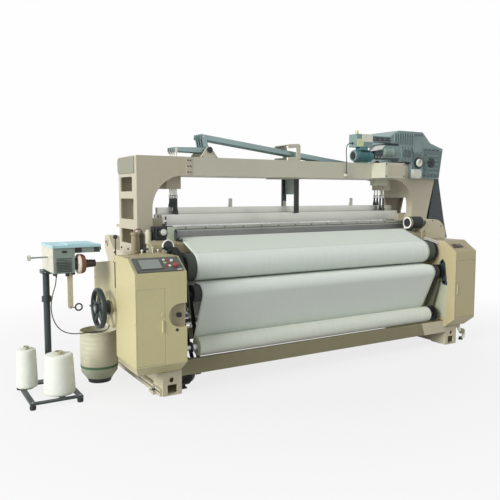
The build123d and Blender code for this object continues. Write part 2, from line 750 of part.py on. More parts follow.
# The cloth: from the fell over the front of the friction roller, round the press roller
# behind it, forward over the guide roller and down to the back of the cloth roll.
web_gap = seat_gap + web_thickness / 2
friction_path = friction_r + web_gap
press_path = press_r + web_gap
guide_path = guide_r + web_gap
roll_path = roll_r + web_gap
fell_touch = from_point(fell, friction_axis, friction_path, 1)
nip = radians(press_angle) + 2 * pi
press_leave = crossed_touch(press_axis, press_path, guide_axis, guide_path, 1)
guide_meet = press_leave + pi
guide_leave = crossed_touch(guide_axis, guide_path, roll_axis, roll_path, -1) + 2 * pi
roll_meet = guide_leave - pi

with BuildPart() as cloth_web:
    with BuildLine(Plane.YZ) as cloth_path:
        Line(fell, on_circle(friction_axis, friction_path, fell_touch))
        arc_around(friction_axis, friction_path, fell_touch, nip)
        arc_around(press_axis, press_path, nip - pi, press_leave)
        Line(on_circle(press_axis, press_path, press_leave),
             on_circle(guide_axis, guide_path, guide_meet))
        arc_around(guide_axis, guide_path, guide_meet, guide_leave)
        Line(on_circle(guide_axis, guide_path, guide_leave),
             on_circle(roll_axis, roll_path, roll_meet))
    sheet_along(cloth_path)
save(cloth_web, "cloth_web")

# The warp: from the fell back through reed and heald frames, over the back rest and
# down to the back of the warp beam.
rest_path = back_rest_r + web_gap
beam_path = warp_yarn_r + web_gap
warp_start = (fell[0] + 0.7, fell[1])
rest_touch = from_point(warp_start, back_rest_axis, rest_path, -1)
down = (warp_axis[0] - back_rest_axis[0], warp_axis[1] - back_rest_axis[1])
rest_leave = atan2(down[1], down[0]) + acos((rest_path - beam_path) / hypot(*down))

with BuildPart() as warp_sheet:
    with BuildLine(Plane.YZ) as warp_path:
        Line(warp_start, on_circle(back_rest_axis, rest_path, rest_touch))
        arc_around(back_rest_axis, rest_path, rest_touch, rest_leave)
        Line(on_circle(back_rest_axis, rest_path, rest_leave),
             on_circle(warp_axis, beam_path, rest_leave))
    sheet_along(warp_path)
save(warp_sheet, "warp_sheet")

# Breast beam under the cloth, with the two arms that carry the press roller.
breast_outline = [(-435, 1075), (-365, 1075), (-365, 1178), (-435, 1150)]
with BuildPart() as breast_beam:
    slab_x((-shaft_half, loom_half - 213), breast_outline)
    block((-shaft_half, -plate_in - 10), (-435, -365), (frame_top, 1080))
    for x in (arm_left_x, arm_right_x):
        slab_x(x, [(press_axis[0] - 28, press_axis[1]), (press_axis[0] + 28, press_axis[1]),
                   (-385, 1080), (-428, 1080)])
        bar_x(x, press_axis, press_shaft_r + boss_wall)
        bar_x((x[0] - 1, x[1] + 1), press_axis, press_shaft_r + running_fit, Mode.SUBTRACT)
save(breast_beam, "breast_beam")

# Sley: rocking shaft, swords and beam in one weldment. The reed stands on it.
with BuildPart() as sley:
    bar_x(shaft_ends, sley_axis, sley_shaft_r)
    block(sley_x, sley_beam_y, sley_beam_z)
    sword_pitch = (sley_x[1] - sley_x[0] - 355) / 4
    for x in [(number - 2) * sword_pitch for number in range(5)]:
        bar_x((x - 30, x + 30), sley_axis, sley_shaft_r + boss_wall)
        slab_x((x - 14, x + 14), [
            (sley_axis[0] - 30, sley_axis[1]), (sley_axis[0] + 30, sley_axis[1]),
            (sley_beam_y[1], sley_beam_z[0] + 1), (sley_beam_y[0], sley_beam_z[0] + 1)])
save(sley, "sley")

reed_y = sum(sley_beam_y) / 2
with BuildPart() as reed:
    block(sley_x, (reed_y - 12, reed_y + 12), (sley_beam_z[1], sley_beam_z[1] + 14))
    block(sley_x, (reed_y - reed_cap_half, reed_y + reed_cap_half), reed_cap_z)
    for x in (sley_x[0], sley_x[1] - 16):
        block((x, x + 16), (reed_y - 12, reed_y + 12), (sley_beam_z[1] + 1, reed_cap_z[0] + 1))
save(reed, "reed")

# Water pump and nozzle beside the reed's left end.
with BuildPart() as nozzle_pump:
    pump_end = -plate_in + 154
    block((pump_end - 240, pump_end), (-346, -264), (frame_top, frame_top + 38))
    block((pump_end - 175, pump_end), (-340, -270), (frame_top + 37, frame_top + 242))
    bar_y((-362, -338), (pump_end - 119, frame_top + 194), 30)
    bar_x((pump_end - 4, pump_end + 14), (-305, frame_top + 162), 8)
    bar_z((frame_top + 240, frame_top + 262), (pump_end - 74, -305), 16)
save(nozzle_pump, "nozzle_pump")

# Main shaft with its belt pulley, handwheel, motor and belt.
with BuildPart() as main_shaft:
    bar_x((handwheel_x - 34, shaft_half), main_axis, main_shaft_r)
    bar_x(pulley_x, main_axis, pulley_r)
save(main_shaft, "main_shaft")

with BuildPart() as handwheel:
    bar_x((handwheel_x - 22, handwheel_x + 22), main_axis, handwheel_r)
    bar_x((handwheel_x - 23, handwheel_x + 23), main_axis, handwheel_r - 24, Mode.SUBTRACT)
    for angle in range(0, 360, 72):
        with Locations(Location((handwheel_x, *main_axis), (angle, 0, 0))):
            with Locations((0, 0, (handwheel_r - 10) / 2)):
                Box(16, 26, handwheel_r - 10)
    bar_x((handwheel_x - 34, handwheel_x + 40), main_axis, 42)
    bar_x((handwheel_x - 35, handwheel_x + 41), main_axis, main_shaft_r, Mode.SUBTRACT)
save(handwheel, "handwheel")

with BuildPart() as motor:
    bar_x(motor_x, motor_axis, motor_r)
    block((motor_x[0] + 12, motor_x[1] - 12), (-734, -452), (0, 12))
    block((motor_x[0] + 20, motor_x[1] - 20), (-660, -480), (11, 70))
    bar_x((motor_x[1] - 50, motor_x[1] + 1), motor_axis, motor_shaft_r + running_fit, Mode.SUBTRACT)
save(motor, "motor")

with BuildPart() as motor_pulley:
    bar_x((motor_x[1] - 48, pulley_x[1]), motor_axis, motor_shaft_r)
    bar_x(pulley_x, motor_axis, motor_pulley_r)
save(motor_pulley, "motor_pulley")


def belt_loop(extra):
    """Loop round both pulleys, this much outside them."""
    big, small = pulley_r + extra, motor_pulley_r + extra
    dy, dz = motor_axis[0] - main_axis[0], motor_axis[1] - main_axis[1]
    along = atan2(dz, dy)
    spread = acos((big - small) / hypot(dy, dz))
    arc_around(main_axis, big, along + spread, along + 2 * pi - spread)
    Line(on_circle(main_axis, big, along - spread), on_circle(motor_axis, small, along - spread))
    arc_around(motor_axis, small, along - spread, along + spread)
    Line(on_circle(motor_axis, small, along + spread), on_circle(main_axis, big, along + spread))


with BuildPart() as drive_belt:
    for extra, mode in ((seat_gap + belt_thickness, Mode.ADD), (seat_gap, Mode.SUBTRACT)):
        with BuildSketch(Plane.YZ.offset(pulley_x[0] + 3)):
            with BuildLine():
                belt_loop(extra)
            make_face()
        extrude(amount=pulley_x[1] - pulley_x[0] - 6, mode=mode)
save(drive_belt, "drive_belt")

# Dobby on the right post: its body with the drive beside it, a knob and the chain guard.
dobby_y = (-290, 170)
knob_axis = (dobby_seat_x + 100, dobby_seat + 166)
knob_r = 43
knob_stem_r = 9
with BuildPart() as dobby_body:
    slab_y(dobby_y, [(dobby_seat_x + x, dobby_seat + z) for x, z in (
        (2, 0), (428, 0), (480, 328), (412, 345), (280, 385), (162, 495), (-188, 495),
        (-298, 435), (-298, 358), (-178, 358), (-178, 173), (2, 173))])
    bar_y((dobby_y[0] - 1, dobby_y[0] + 32), knob_axis, knob_stem_r + running_fit, Mode.SUBTRACT)
    # The drive to its left, and a plate on its front
    end = dobby_seat_x - 178
    base = dobby_seat
    block((end - 262, end + 1), (dobby_y[0], -180), (base + 193, base + 333))
    block((end - 372, end - 119), (dobby_y[0], -200), (base + 365, base + 423))
    block((end - 582, end - 371), (dobby_y[0], -170), (base + 305, base + 433))
    bar_x((end - 582, end - 352), (-236, base + 218), 54)
    bar_x((end - 354, end - 327), (-236, base + 218), 30)
    block((end - 512, end - 432), (-262, -210), (base + 263, base + 307))
    block((end - 532, end - 402), (-250, -190), (gantry_top, base + 178))
    block((end - 327, end - 260), (-262, -210), (base + 199, base + 237))
    block((dobby_seat_x + 2, dobby_seat_x + 112), (dobby_y[0] - 42, dobby_y[0] + 1),
          (base + 2, base + 93))
save(dobby_body, "dobby_body")

with BuildPart() as dobby_knob:
    bar_y((dobby_y[0] - 34, dobby_y[0] - seat_gap), knob_axis, knob_r)
    bar_y((dobby_y[0] - 2, dobby_y[0] + 30), knob_axis, knob_stem_r)
save(dobby_knob, "dobby_knob")

with BuildPart() as chain_guard:
    slab_y((-250, -150), [(right_post_top_outer + x, dobby_seat + z) for x, z in (
        (21, -662), (233, -662), (175, -477), (75, -47), (69, 0), (2, 0), (-3, -47), (-79, -477))])
save(chain_guard, "chain_guard")


def cable(name, r, points):
    """Straight runs joined by arcs as large as the runs allow."""
    runs = [Vector(b) - Vector(a) for a, b in zip(points, points[1:])]
    radii = []
    for before, after in zip(runs, runs[1:]):
        half_turn = radians(before.get_angle(after)) / 2
        radii.append(0.45 * min(before.length, after.length) / tan(half_turn))
    with BuildLine() as route:
        FilletPolyline(*points, radius=radii)
    with BuildSketch(Plane(origin=route.line @ 0, z_dir=route.line % 0)) as section:
        Circle(r)
    sweep(section.sketch, path=route.line)
    length = sum(edge.length for edge in route.edges())
    print(name, "length", round(length, 1), "radii", [round(radius) for radius in radii])
    print(name, "section times length", round(pi * r * r * length))


# Cable from the dobby's drive down to its socket on the beam.
with BuildPart() as dobby_cable:
    cable("dobby_cable", 4.5, [
        (dobby_drive_x, -230, dobby_seat + 343), (dobby_drive_x - 65, -230, dobby_seat + 343),
        (dobby_drive_x - 105, -254, dobby_seat + 278), (dobby_drive_x - 115, -273, dobby_seat + 203),
        (dobby_drive_x - 110, -270, beam_bottom + 125), (dobby_drive_x - 110, -270, beam_bottom + 47)])
save(dobby_cable, "dobby_cable")
print("dobby_cable volume", round(dobby_cable.part.volume))

# Feeder stand: a base of flat bars on four feet, a round post, a head plate and its clamp.
with BuildPart() as feeder_stand:
    deck = (stand_height - 14, stand_height)
    half_bar = stand_bar / 2
    for x in (*stand_x, stand_post[0]):
        block((x - half_bar, x + half_bar), (stand_y[0] - half_bar, stand_y[1] + half_bar), deck)
    for y in (*stand_y, stand_post[1]):
        block((stand_x[0] - half_bar, stand_x[1] + half_bar), (y - half_bar, y + half_bar), deck)
    for x, y, r in cones:
        bar_z(deck, (x, y), r * 0.6)
    for x in stand_x:
        for y in stand_y:
            bar_z((0, stand_height - 13), (x, y), 20)
    bar_z((stand_height - 1, feeder_box_z[0] - 8), stand_post, stand_post_r)
    bar_z((stand_height - 1, stand_height + 30), stand_post, stand_post_r + 14)
    bar_z((700, 745), stand_post, stand_post_r + 12)
    block((feeder_box_x[0] - 28, feeder_box_x[0] + 90), (-90, feeder_box_y[1]),
          (feeder_box_z[0] - 30, feeder_box_z[0]))
save(feeder_stand, "feeder_stand")

# Feeder head: housing with an overhanging lid, a yarn guide and the arm of the eyelet.
eyelet_arm = (feeder_box_x[1] - 35, -320)
eyelet_z = feeder_box_z[0] - 272
with BuildPart() as feeder_box:
    block(feeder_box_x, feeder_box_y, (feeder_box_z[0], feeder_box_z[1] - 14))
    block((feeder_box_x[0] - 8, feeder_box_x[1] + 200), (feeder_box_y[0] - 8, feeder_box_y[1] + 8),
          (feeder_box_z[1] - 15, feeder_box_z[1]))
    block((feeder_box_x[1] - 1, feeder_box_x[1] + 196), (feeder_box_y[0], -200),
          (1108, feeder_box_z[1] - 14))
    bar_x((feeder_box_x[1] + 195, feeder_box_x[1] + 215), (-300, 1135), 16)
    bar_z((eyelet_z - 6, feeder_box_z[0] + 1), eyelet_arm, 6)
    bar_x((eyelet_arm[0], eyelet_arm[0] + 18), (eyelet_arm[1], eyelet_z), 5)
    bar_x((feeder_box_x[0] - 145, feeder_box_x[0] + 1), (-200, 1072), 6)
    bar_x((feeder_box_x[0] - 158, feeder_box_x[0] - 138), (-200, 1072), 20)
    bar_x((feeder_box_x[1] - 40, feeder_box_x[1] + 1), feeder_drum_axis, 10 + running_fit,
          Mode.SUBTRACT)
save(feeder_box, "feeder_box")

# Eyelet for the weft yarn on the end of its arm.
with BuildPart() as yarn_eyelet:
    bar_x((eyelet_arm[0] + 18, eyelet_arm[0] + 37), (eyelet_arm[1], eyelet_z), 4)
    with Locations(Location((eyelet_arm[0] + 62, eyelet_arm[1], eyelet_z), (90, 0, 0))):
        Torus(26, 5)
save(yarn_eyelet, "yarn_eyelet")

with BuildPart() as feeder_drum:
    bar_x((feeder_box_x[1] - 38, feeder_box_x[1] + 12), feeder_drum_axis, 10)
    bar_x((feeder_box_x[1] + 10, feeder_box_x[1] + 26), feeder_drum_axis, 46)
    bar_x((feeder_box_x[1] + 24, feeder_box_x[1] + 84), feeder_drum_axis, feeder_drum_r)
    bar_x((feeder_box_x[1] + 83, feeder_box_x[1] + 168), feeder_drum_axis, 30)
save(feeder_drum, "feeder_drum")

# Two yarn cones on their tubes, standing on the base.
with BuildPart() as yarn_cones:
    for x, y, r in cones:
        with Locations((x, y, stand_height + cone_height / 2)):
            Cone(r, r * 0.88, cone_height)
        bar_z((stand_height + cone_height - 1, stand_height + cone_height + 22), (x, y), r * 0.3)
save(yarn_cones, "yarn_cones")

# Cable from the feeder's head to the gland under the gear case.
with BuildPart() as feeder_cable:
    cable("feeder_cable", 4, [(gland[0] + x, gland[1] + y, gear_case_bottom + z) for x, y, z in (
        (-450, -151, 455), (-450, -151, 385), (-484, -152, 290), (-498, -149, 190),
        (-480, -141, 90), (-428, -129, 5), (-343, -106, -38), (-248, -79, -50),
        (-153, -51, -56), (-78, -26, -66), (-23, -8, -62), (0, 0, -42), (0, 0, -14))])
save(feeder_cable, "feeder_cable")
print("feeder_cable volume", round(feeder_cable.part.volume))

# Water vessel: a turned tub on a foot ring.
with BuildPart() as water_vessel:
    profile = [
        (0, 12), (vessel_foot_r - 8, 12), (vessel_foot_r - 8, 0), (vessel_foot_r, 0),
        (vessel_foot_r + 4, 22), (vessel_r - 10, 90), (vessel_r, 170), (vessel_r, vessel_top),
        (vessel_r - vessel_wall, vessel_top), (vessel_r - vessel_wall, 172),
        (vessel_r - 14, 96), (vessel_foot_r, 30), (0, 24)]
    with BuildSketch(Plane.XZ.offset(-vessel_spot[1])):
        with BuildLine():
            Polyline(*[(vessel_spot[0] + r, z) for r, z in profile], close=True)
        make_face()
    revolve(axis=Axis((vessel_spot[0], vessel_spot[1], 0), (0, 0, 1)))
save(water_vessel, "water_vessel")

# Heald frames with their lift rods, which end in forks that hold the cranks' pins.
for i, y in enumerate(heald_ys):
    top = heald_tops[i]
    bottom = top - heald_height
    across = (y - heald_thickness / 2, y + heald_thickness / 2)
    with BuildPart() as heald_frame:
        block((-heald_half, heald_half), across, (bottom, top))
        block((-heald_half + heald_stile, heald_half - heald_stile), (across[0] - 1, across[1] + 1),
              (bottom + heald_rail - 34, top - heald_rail), Mode.SUBTRACT)
        for side in (-1, 1):
            block(both(side, heald_half - 1, heald_half + tongue), across, (bottom + 90, top - 60))
        for rod_x, pivot_z in ((left_rod_x, left_pivot[1]), (right_rod_x, right_pivot[1])):
            bar_z((top - 1, pivot_z - 26), (rod_x, y), rod_r)
            block((rod_x - 11, rod_x + 11), (y - 11.5, y + 11.5), (pivot_z - 34, pivot_z - 24))
            for cheek in (-11.5, 7.5):
                block((rod_x - 11, rod_x + 11), (y + cheek, y + cheek + 4),
                      (pivot_z - 25, pivot_z + 13))
            bar_y((y - 11.5, y + 11.5), (rod_x, pivot_z), pin_r)
    save(heald_frame, f"heald_frame_{i + 1}")

# Cranks: the lift arm carries the rod's pin in a slot, the other arm the link bar's pin.
slot_left = (22, 13)
slot_right = (27, 14.4)
left_pin_hole_r = 7.3
right_pin_hole_r = 8.4
for i, y in enumerate(heald_ys):
    plate = (y - crank_thickness / 2, y + crank_thickness / 2)
    cut = (plate[0] - 1, plate[1] + 1)
    hub = (y - 20, y + 20)
    px, pz = left_pivot
    with BuildPart() as crank_left:
        slab_y(plate, [(left_rod_x - 18, pz - 17), (px + 4, pz - 24), (px + 4, pz + 24),
                       (left_rod_x - 18, pz + 17)])
        slab_y(plate, [(px - 26, pz), (px + 26, pz), (left_pin[0] + 17, left_pin[1] + 17),
                       (left_pin[0] - 17, left_pin[1] + 17)])
        bar_y(hub, left_pivot, crank_shaft_r + 11)
        bar_y((hub[0] - 1, hub[1] + 1), left_pivot, crank_shaft_r + running_fit, Mode.SUBTRACT)
        block((left_rod_x - slot_left[0] / 2, left_rod_x + slot_left[0] / 2), cut,
              (pz - slot_left[1] / 2, pz + slot_left[1] / 2), Mode.SUBTRACT)
        bar_y(cut, left_pin, left_pin_hole_r, Mode.SUBTRACT)
    save(crank_left, f"crank_left_{i + 1}")

    px, pz = right_pivot
    with BuildPart() as crank_right:
        slab_y(plate, [(px - 4, pz - 22), (right_rod_x + 19, pz - 16), (right_rod_x + 19, pz + 16),
                       (px - 4, pz + 22)])
        slab_y(plate, [(px - 24, pz), (px + 24, pz), (right_pin[0] + 17, right_pin[1] - 17),
                       (right_pin[0] - 17, right_pin[1] - 17)])
        bar_y(hub, right_pivot, crank_shaft_r + 9)
        bar_y((hub[0] - 1, hub[1] + 1), right_pivot, crank_shaft_r + running_fit, Mode.SUBTRACT)
        block((right_rod_x - slot_right[0] / 2, right_rod_x + slot_right[0] / 2), cut,
              (pz - slot_right[1] / 2, pz + slot_right[1] / 2), Mode.SUBTRACT)
        bar_y(cut, right_pin, right_pin_hole_r, Mode.SUBTRACT)
    save(crank_right, f"crank_right_{i + 1}")

# Link bars: flat bars from the left cranks to the right ones, behind the crank plates.
run = (right_pin[0] - left_pin[0], right_pin[1] - left_pin[1])
run_length = hypot(*run)
along = (run[0] / run_length, run[1] / run_length)
bar_end = 22
for i, y in enumerate(heald_ys):
    face = y + crank_thickness / 2 + seat_gap
    corners = []
    for pin, way in ((left_pin, -1), (right_pin, 1)):
        end = (pin[0] + way * bar_end * along[0], pin[1] + way * bar_end * along[1])
        for edge in (way, -way):
            corners.append((end[0] - edge * along[1] * bar_depth / 2,
                            end[1] + edge * along[0] * bar_depth / 2))
    with BuildPart() as link_bar:
        slab_y((face, face + bar_thickness), corners)
        for pin in (left_pin, right_pin):
            bar_y((y - crank_thickness / 2, face + 1), pin, pin_r)
    save(link_bar, f"link_bar_{i + 1}")
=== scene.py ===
# %% [markdown]
# This lesson dresses a wide power loom. The metal arrives finished in size and place, as a
# packed frame in metres: X runs along the loom, Y from the cloth side to the warp side and Z
# up. What is left to make is what the eye judges first: paint, steel, cloth, yarn, and the
# small parts that a bare construction model leaves out.

# %% Load the frame
import json
import random
from math import acos, atan2, cos, hypot, pi, radians, sin

import bmesh
import bpy
from mathutils import Matrix, Vector


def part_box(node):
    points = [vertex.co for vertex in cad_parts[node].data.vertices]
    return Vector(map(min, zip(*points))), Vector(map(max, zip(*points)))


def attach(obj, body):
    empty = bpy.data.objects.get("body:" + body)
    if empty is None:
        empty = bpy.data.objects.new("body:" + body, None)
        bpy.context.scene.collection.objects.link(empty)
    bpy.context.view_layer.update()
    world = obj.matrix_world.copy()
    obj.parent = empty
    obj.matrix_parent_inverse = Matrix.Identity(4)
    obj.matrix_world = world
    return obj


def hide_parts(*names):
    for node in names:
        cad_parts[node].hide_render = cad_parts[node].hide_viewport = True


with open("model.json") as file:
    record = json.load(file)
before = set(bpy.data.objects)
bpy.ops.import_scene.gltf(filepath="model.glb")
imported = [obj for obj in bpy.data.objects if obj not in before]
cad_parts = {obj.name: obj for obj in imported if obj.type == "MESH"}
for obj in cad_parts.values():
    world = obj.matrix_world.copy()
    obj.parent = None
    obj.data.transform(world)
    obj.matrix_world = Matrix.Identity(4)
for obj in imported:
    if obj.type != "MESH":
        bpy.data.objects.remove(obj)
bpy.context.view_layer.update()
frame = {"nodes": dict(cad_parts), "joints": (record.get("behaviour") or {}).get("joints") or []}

axis_of = {joint["name"]: Vector(joint["pos_m"]) for joint in frame["joints"] if "pos_m" in joint}


def new_object(name, data):
    """A new object with this data, linked to the scene."""
    thing = bpy.data.objects.new(name, data)
    bpy.context.scene.collection.objects.link(thing)
    return thing


# %% [markdown]
# The portrait was taken by someone standing to the left of the loom, with the camera at eye
# height and turned a little down. A camera in Blender looks along its own -Z, so it is first
# tipped up by a right angle less the pitch, and then turned about the upright axis.

# %% Place the camera
eye = Vector((-3.365, -4.935, 1.55))
turned_right = radians(30.81)
turned_down = radians(5.27)
camera = new_object("camera", bpy.data.cameras.new("camera"))
camera.data.lens = 42.96
camera.data.sensor_width = 36.0
camera.location = eye
camera.rotation_euler = (pi / 2 - turned_down, 0, -turned_right)
bpy.context.scene.camera = camera
print("camera at", [round(value, 2) for value in eye])

# %% [markdown]
# Every finish starts as a colour picked from a screen. Screens show colours with a
# gamma curve, while shaders reckon in linear light, so a swatch is converted once, here.


# %% Turn a screen colour into linear light
def swatch(red, green, blue):
    """A screen colour, 0 to 255 a channel, in linear light."""
    shares = [value / 255 for value in (red, green, blue)]
    linear = [share / 12.92 if share < 0.04 else ((share + 0.055) / 1.055) ** 2.4 for share in shares]
    return (*linear, 1.0)


def darker(colour, share):
    """The same colour with this share of its light."""
    return [channel * share for channel in colour[:3]] + [1.0]


print("mid grey in linear light:", round(swatch(128, 128, 128)[0], 3))

# %% [markdown]
# Most finishes share the same few ideas: a noise that tints the colour, a second one that
# makes the gloss uneven, and fine relief. A small class keeps the node tree of one material
# and gives those ideas short names, so that each finish below reads as a recipe. The
# patterns are laid out in object coordinates, which here are metres on the loom itself.


# %% A material with short calls for its nodes
class Finish:
    """One material: a Principled shader and the patterns that feed it."""

    def __init__(self, name, colour, roughness, metallic=0.0):
        self.material = bpy.data.materials.new(name)
        self.material.use_nodes = True
        self.tree = self.material.node_tree
        self.shader = self.tree.nodes["Principled BSDF"]
        self.shader.inputs["Base Color"].default_value = colour
        self.shader.inputs["Roughness"].default_value = roughness
        self.shader.inputs["Metallic"].default_value = metallic
        self.colour = colour
        self.relief = None

    def add(self, kind, inputs=(), **settings):
        """A new node; inputs are (name or number, value or socket to link)."""
        node = self.tree.nodes.new("ShaderNode" + kind)
        for key, value in settings.items():
            setattr(node, key, value)
        for socket, value in inputs:
            if isinstance(value, bpy.types.NodeSocket):
                self.tree.links.new(value, node.inputs[socket])
            else:
                node.inputs[socket].default_value = value
        return node

    def place(self, stretch=(1, 1, 1), source="Object"):
        """Object coordinates in metres, or the mesh's own, stretched along each axis."""
        where = self.add("TexCoord").outputs[source]
        return self.add("Mapping", [("Vector", where), ("Scale", stretch)]).outputs["Vector"]

    def noise(self, scale, detail=3.0, stretch=(1, 1, 1)):
        """Cloudy noise with this many blotches to the metre."""
        inputs = [("Vector", self.place(stretch)), ("Scale", scale), ("Detail", detail)]
        return self.add("TexNoise", inputs).outputs["Fac"]

    def mask(self, value, low, high):
        """A value spread so that low gives 0 and high gives 1."""
        inputs = [("Value", value), ("From Min", low), ("From Max", high)]
        return self.add("MapRange", inputs).outputs["Result"]

    def math(self, operation, *values):
        """One step of arithmetic on values or sockets."""
        return self.add("Math", enumerate(values), operation=operation).outputs[0]

    def times(self, first, second):
        return self.math("MULTIPLY", first, second)

    def tint(self, mask, colour, amount=1.0):
        """Lays a colour over what is there, where the mask says."""
        share = self.times(mask, amount)
        mix = self.add("Mix", [(0, share), (6, self.colour), (7, colour)], data_type="RGBA")
        self.colour = mix.outputs[2]
        self.tree.links.new(self.colour, self.shader.inputs["Base Color"])

    def gloss(self, mask, rough_low, rough_high):
        """Uneven roughness between two values."""
        inputs = [("Value", mask), ("To Min", rough_low), ("To Max", rough_high)]
        rough = self.add("MapRange", inputs).outputs["Result"]
        self.tree.links.new(rough, self.shader.inputs["Roughness"])

    def raise_by(self, height, metres, strength=1.0):
        """Relief of this depth, on top of the relief that is there."""
        inputs = [("Height", height), ("Distance", metres), ("Strength", strength)]
        if self.relief:
            inputs.append(("Normal", self.relief))
        self.relief = self.add("Bump", inputs).outputs["Normal"]
        self.tree.links.new(self.relief, self.shader.inputs["Normal"])

    def edges(self, radius):
        """1 on edges that stick out or in, 0 on flat faces."""
        rounded = self.add("Bevel", [("Radius", radius)], samples=4).outputs["Normal"]
        flat = self.add("NewGeometry").outputs["Normal"]
        dot = self.add("VectorMath", [(0, rounded), (1, flat)], operation="DOT_PRODUCT")
        return self.mask(dot.outputs["Value"], 0.995, 0.86)

    def height(self):
        """Height above the floor in metres."""
        where = self.add("TexCoord").outputs["Object"]
        return self.add("SeparateXYZ", [(0, where)]).outputs["Z"]


print("finish recipes ready")

# %% [markdown]
# Cast and folded parts wear the same kind of paint: satin, with a faint orange-peel relief,
# a slightly darker lower edge, and lighter scuffs where hands and tools knock the edges.
# Some also darken and brown on their tops, partly with settled dust and partly with painted shade.
# One recipe makes them all; only the colour and the amount of wear change.


# %% The recipe for painted metal
def paint(name, colour, scuff, roughness=0.42, wear=0.5, dust_and_top_shade=0.0):
    """Satin paint on a screen colour; scuff is the colour of worn edges."""
    coat = Finish(name, swatch(*colour), roughness)
    dark = darker(coat.colour, 0.62)
    coat.tint(coat.mask(coat.noise(1.7), 0.35, 0.75), dark, 0.16)
    coat.tint(coat.mask(coat.noise(38.0, 6.0), 0.52, 0.74), dark, 0.125)
    coat.tint(coat.times(coat.mask(coat.height(), 0.5, 0.0), coat.noise(9.0)), dark, 0.25)
    coat.tint(coat.times(coat.edges(0.006), coat.mask(coat.noise(24.0, 5.0), 0.42, 0.62)), scuff, wear)
    coat.gloss(coat.noise(5.0, 4.0), roughness - 0.07, roughness + 0.12)
    coat.raise_by(coat.noise(420.0, 1.0), 0.0003, 0.35)
    # Up-facing faces turn darker and browner: partly settled dust, partly painted shade on the tops
    if dust_and_top_shade:
        facing = coat.add("NewGeometry").outputs["Normal"]
        up = coat.mask(coat.add("SeparateXYZ", [(0, facing)]).outputs["Z"], 0.45, 0.95)
        coat.tint(coat.times(up, coat.mask(coat.noise(6.0, 4.0), 0.2, 0.6)), dust_and_shade_brown, dust_and_top_shade)
    return coat.material


bare_primer = swatch(214, 208, 192)
worn_steel = swatch(150, 152, 150)
# Brown for the tops: dust, and painted shade
dust_and_shade_brown = swatch(140, 128, 104)
cabinet_paint = paint("cabinet paint", (204, 195, 148), bare_primer, dust_and_top_shade=0.7)
aged_paint = paint("older cabinet paint", (184, 172, 133), bare_primer, dust_and_top_shade=0.85)
casting_paint = paint("casting paint", (200, 192, 165), bare_primer, 0.5)
gantry_paint = paint("gantry paint", (194, 186, 164), bare_primer, 0.48)
girder_paint = paint("girder paint", (200, 198, 178), bare_primer, 0.48)
beam_paint = paint("crossbeam paint", (132, 126, 96), bare_primer, 0.5, 0.3, dust_and_top_shade=0.4)
dark_paint = paint("charcoal paint", (50, 60, 62), worn_steel, 0.4, 0.4)
motor_paint = paint("black enamel", (34, 40, 38), worn_steel, 0.45, 0.2)
wheel_paint = paint("handwheel enamel", (38, 50, 50), worn_steel, 0.4, 0.3)
plate_paint = paint("service plate paint", (172, 162, 130), bare_primer, 0.5)
dobby_paint = paint("dobby paint", (128, 149, 147), worn_steel, 0.38, 0.6)
feeder_paint = paint("feeder paint", (136, 152, 142), bare_primer, 0.4, 0.3)
teal_paint = paint("teal motor paint", (70, 120, 124), worn_steel, 0.4, 0.4)
print("finishes so far:", len(bpy.data.materials))

# %% [markdown]
# Turned steel shows fine rings from the lathe, drawn aluminium shows streaks along its
# length. Both are metal with a noise stretched hard along one axis: squeezed along the
# loom for rings on a roller, drawn out along it for an extruded rail.


# %% The recipe for bare metal
def bare(name, colour, roughness, stretch):
    """Metal with its grain squeezed or drawn out along each axis."""
    metal = Finish(name, swatch(*colour), roughness, 1.0)
    dull = darker(metal.colour, 0.55)
    streaks = metal.noise(60.0, 3.0, stretch)
    metal.tint(metal.mask(streaks, 0.35, 0.8), dull, 0.3)
    metal.tint(metal.mask(metal.noise(3.0), 0.5, 0.8), dull, 0.35)
    metal.gloss(streaks, roughness - 0.08, roughness + 0.14)
    metal.raise_by(streaks, 0.00015, 0.4)
    return metal.material


turned_steel = bare("turned steel", (186, 188, 186), 0.32, (9, 0.6, 0.6))
rail_alloy = bare("rail alloy", (214, 215, 208), 0.42, (0.05, 6, 6))
bar_steel = bare("bar steel", (150, 170, 170), 0.42, (0.3, 4, 4))
reed_steel = bare("reed steel", (164, 166, 158), 0.5, (6, 1, 1))
dark_steel = bare("dark steel", (72, 76, 76), 0.45, (3, 3, 3))
brass = bare("brass", (190, 158, 96), 0.35, (2, 2, 2))
print("finishes so far:", len(bpy.data.materials))

# %% [markdown]
# Rubber, moulded plastic and the glass of the screen need little: a base colour, a gentle
# mottle, and the right gloss.


# %% The recipe for plastic and rubber
def moulded(name, colour, roughness, grain=0.0002):
    """Plastic, rubber or enamel with a gentle mottle."""
    body = Finish(name, swatch(*colour), roughness)
    shade = darker(body.colour, 0.7)
    body.tint(body.mask(body.noise(14.0, 4.0), 0.4, 0.75), shade, 0.25)
    body.gloss(body.noise(30.0), roughness - 0.05, roughness + 0.08)
    body.raise_by(body.noise(900.0, 1.0), grain, 0.3)
    return body.material


black_rubber = moulded("black rubber", (38, 40, 40), 0.7, 0.0004)
cable_sheath = moulded("cable sheath", (52, 56, 56), 0.5)
pale_plastic = moulded("pale plastic", (222, 222, 208), 0.4)
white_plastic = moulded("white plastic", (240, 240, 236), 0.35)
red_plastic = moulded("red plastic", (160, 62, 58), 0.3)
green_plastic = moulded("green plastic", (168, 200, 138), 0.3)
panel_plastic = moulded("panel plastic", (88, 92, 86), 0.45)
screen_glass = moulded("screen", (138, 144, 138), 0.16, 0.0)
blue_cover = moulded("blue cover", (176, 218, 226), 0.42, 0.0)
copper_paint = moulded("brown enamel", (132, 84, 62), 0.35)
hub_enamel = moulded("dark brown enamel", (58, 44, 38), 0.4)
oil_cup_and_highlight = moulded("oil cup", (216, 212, 190), 0.35)
lamp_plastic = moulded("lamp plastic", (206, 216, 162), 0.35)
tub_plastic = moulded("tub plastic", (208, 204, 178), 0.5)
print("finishes so far:", len(bpy.data.materials))

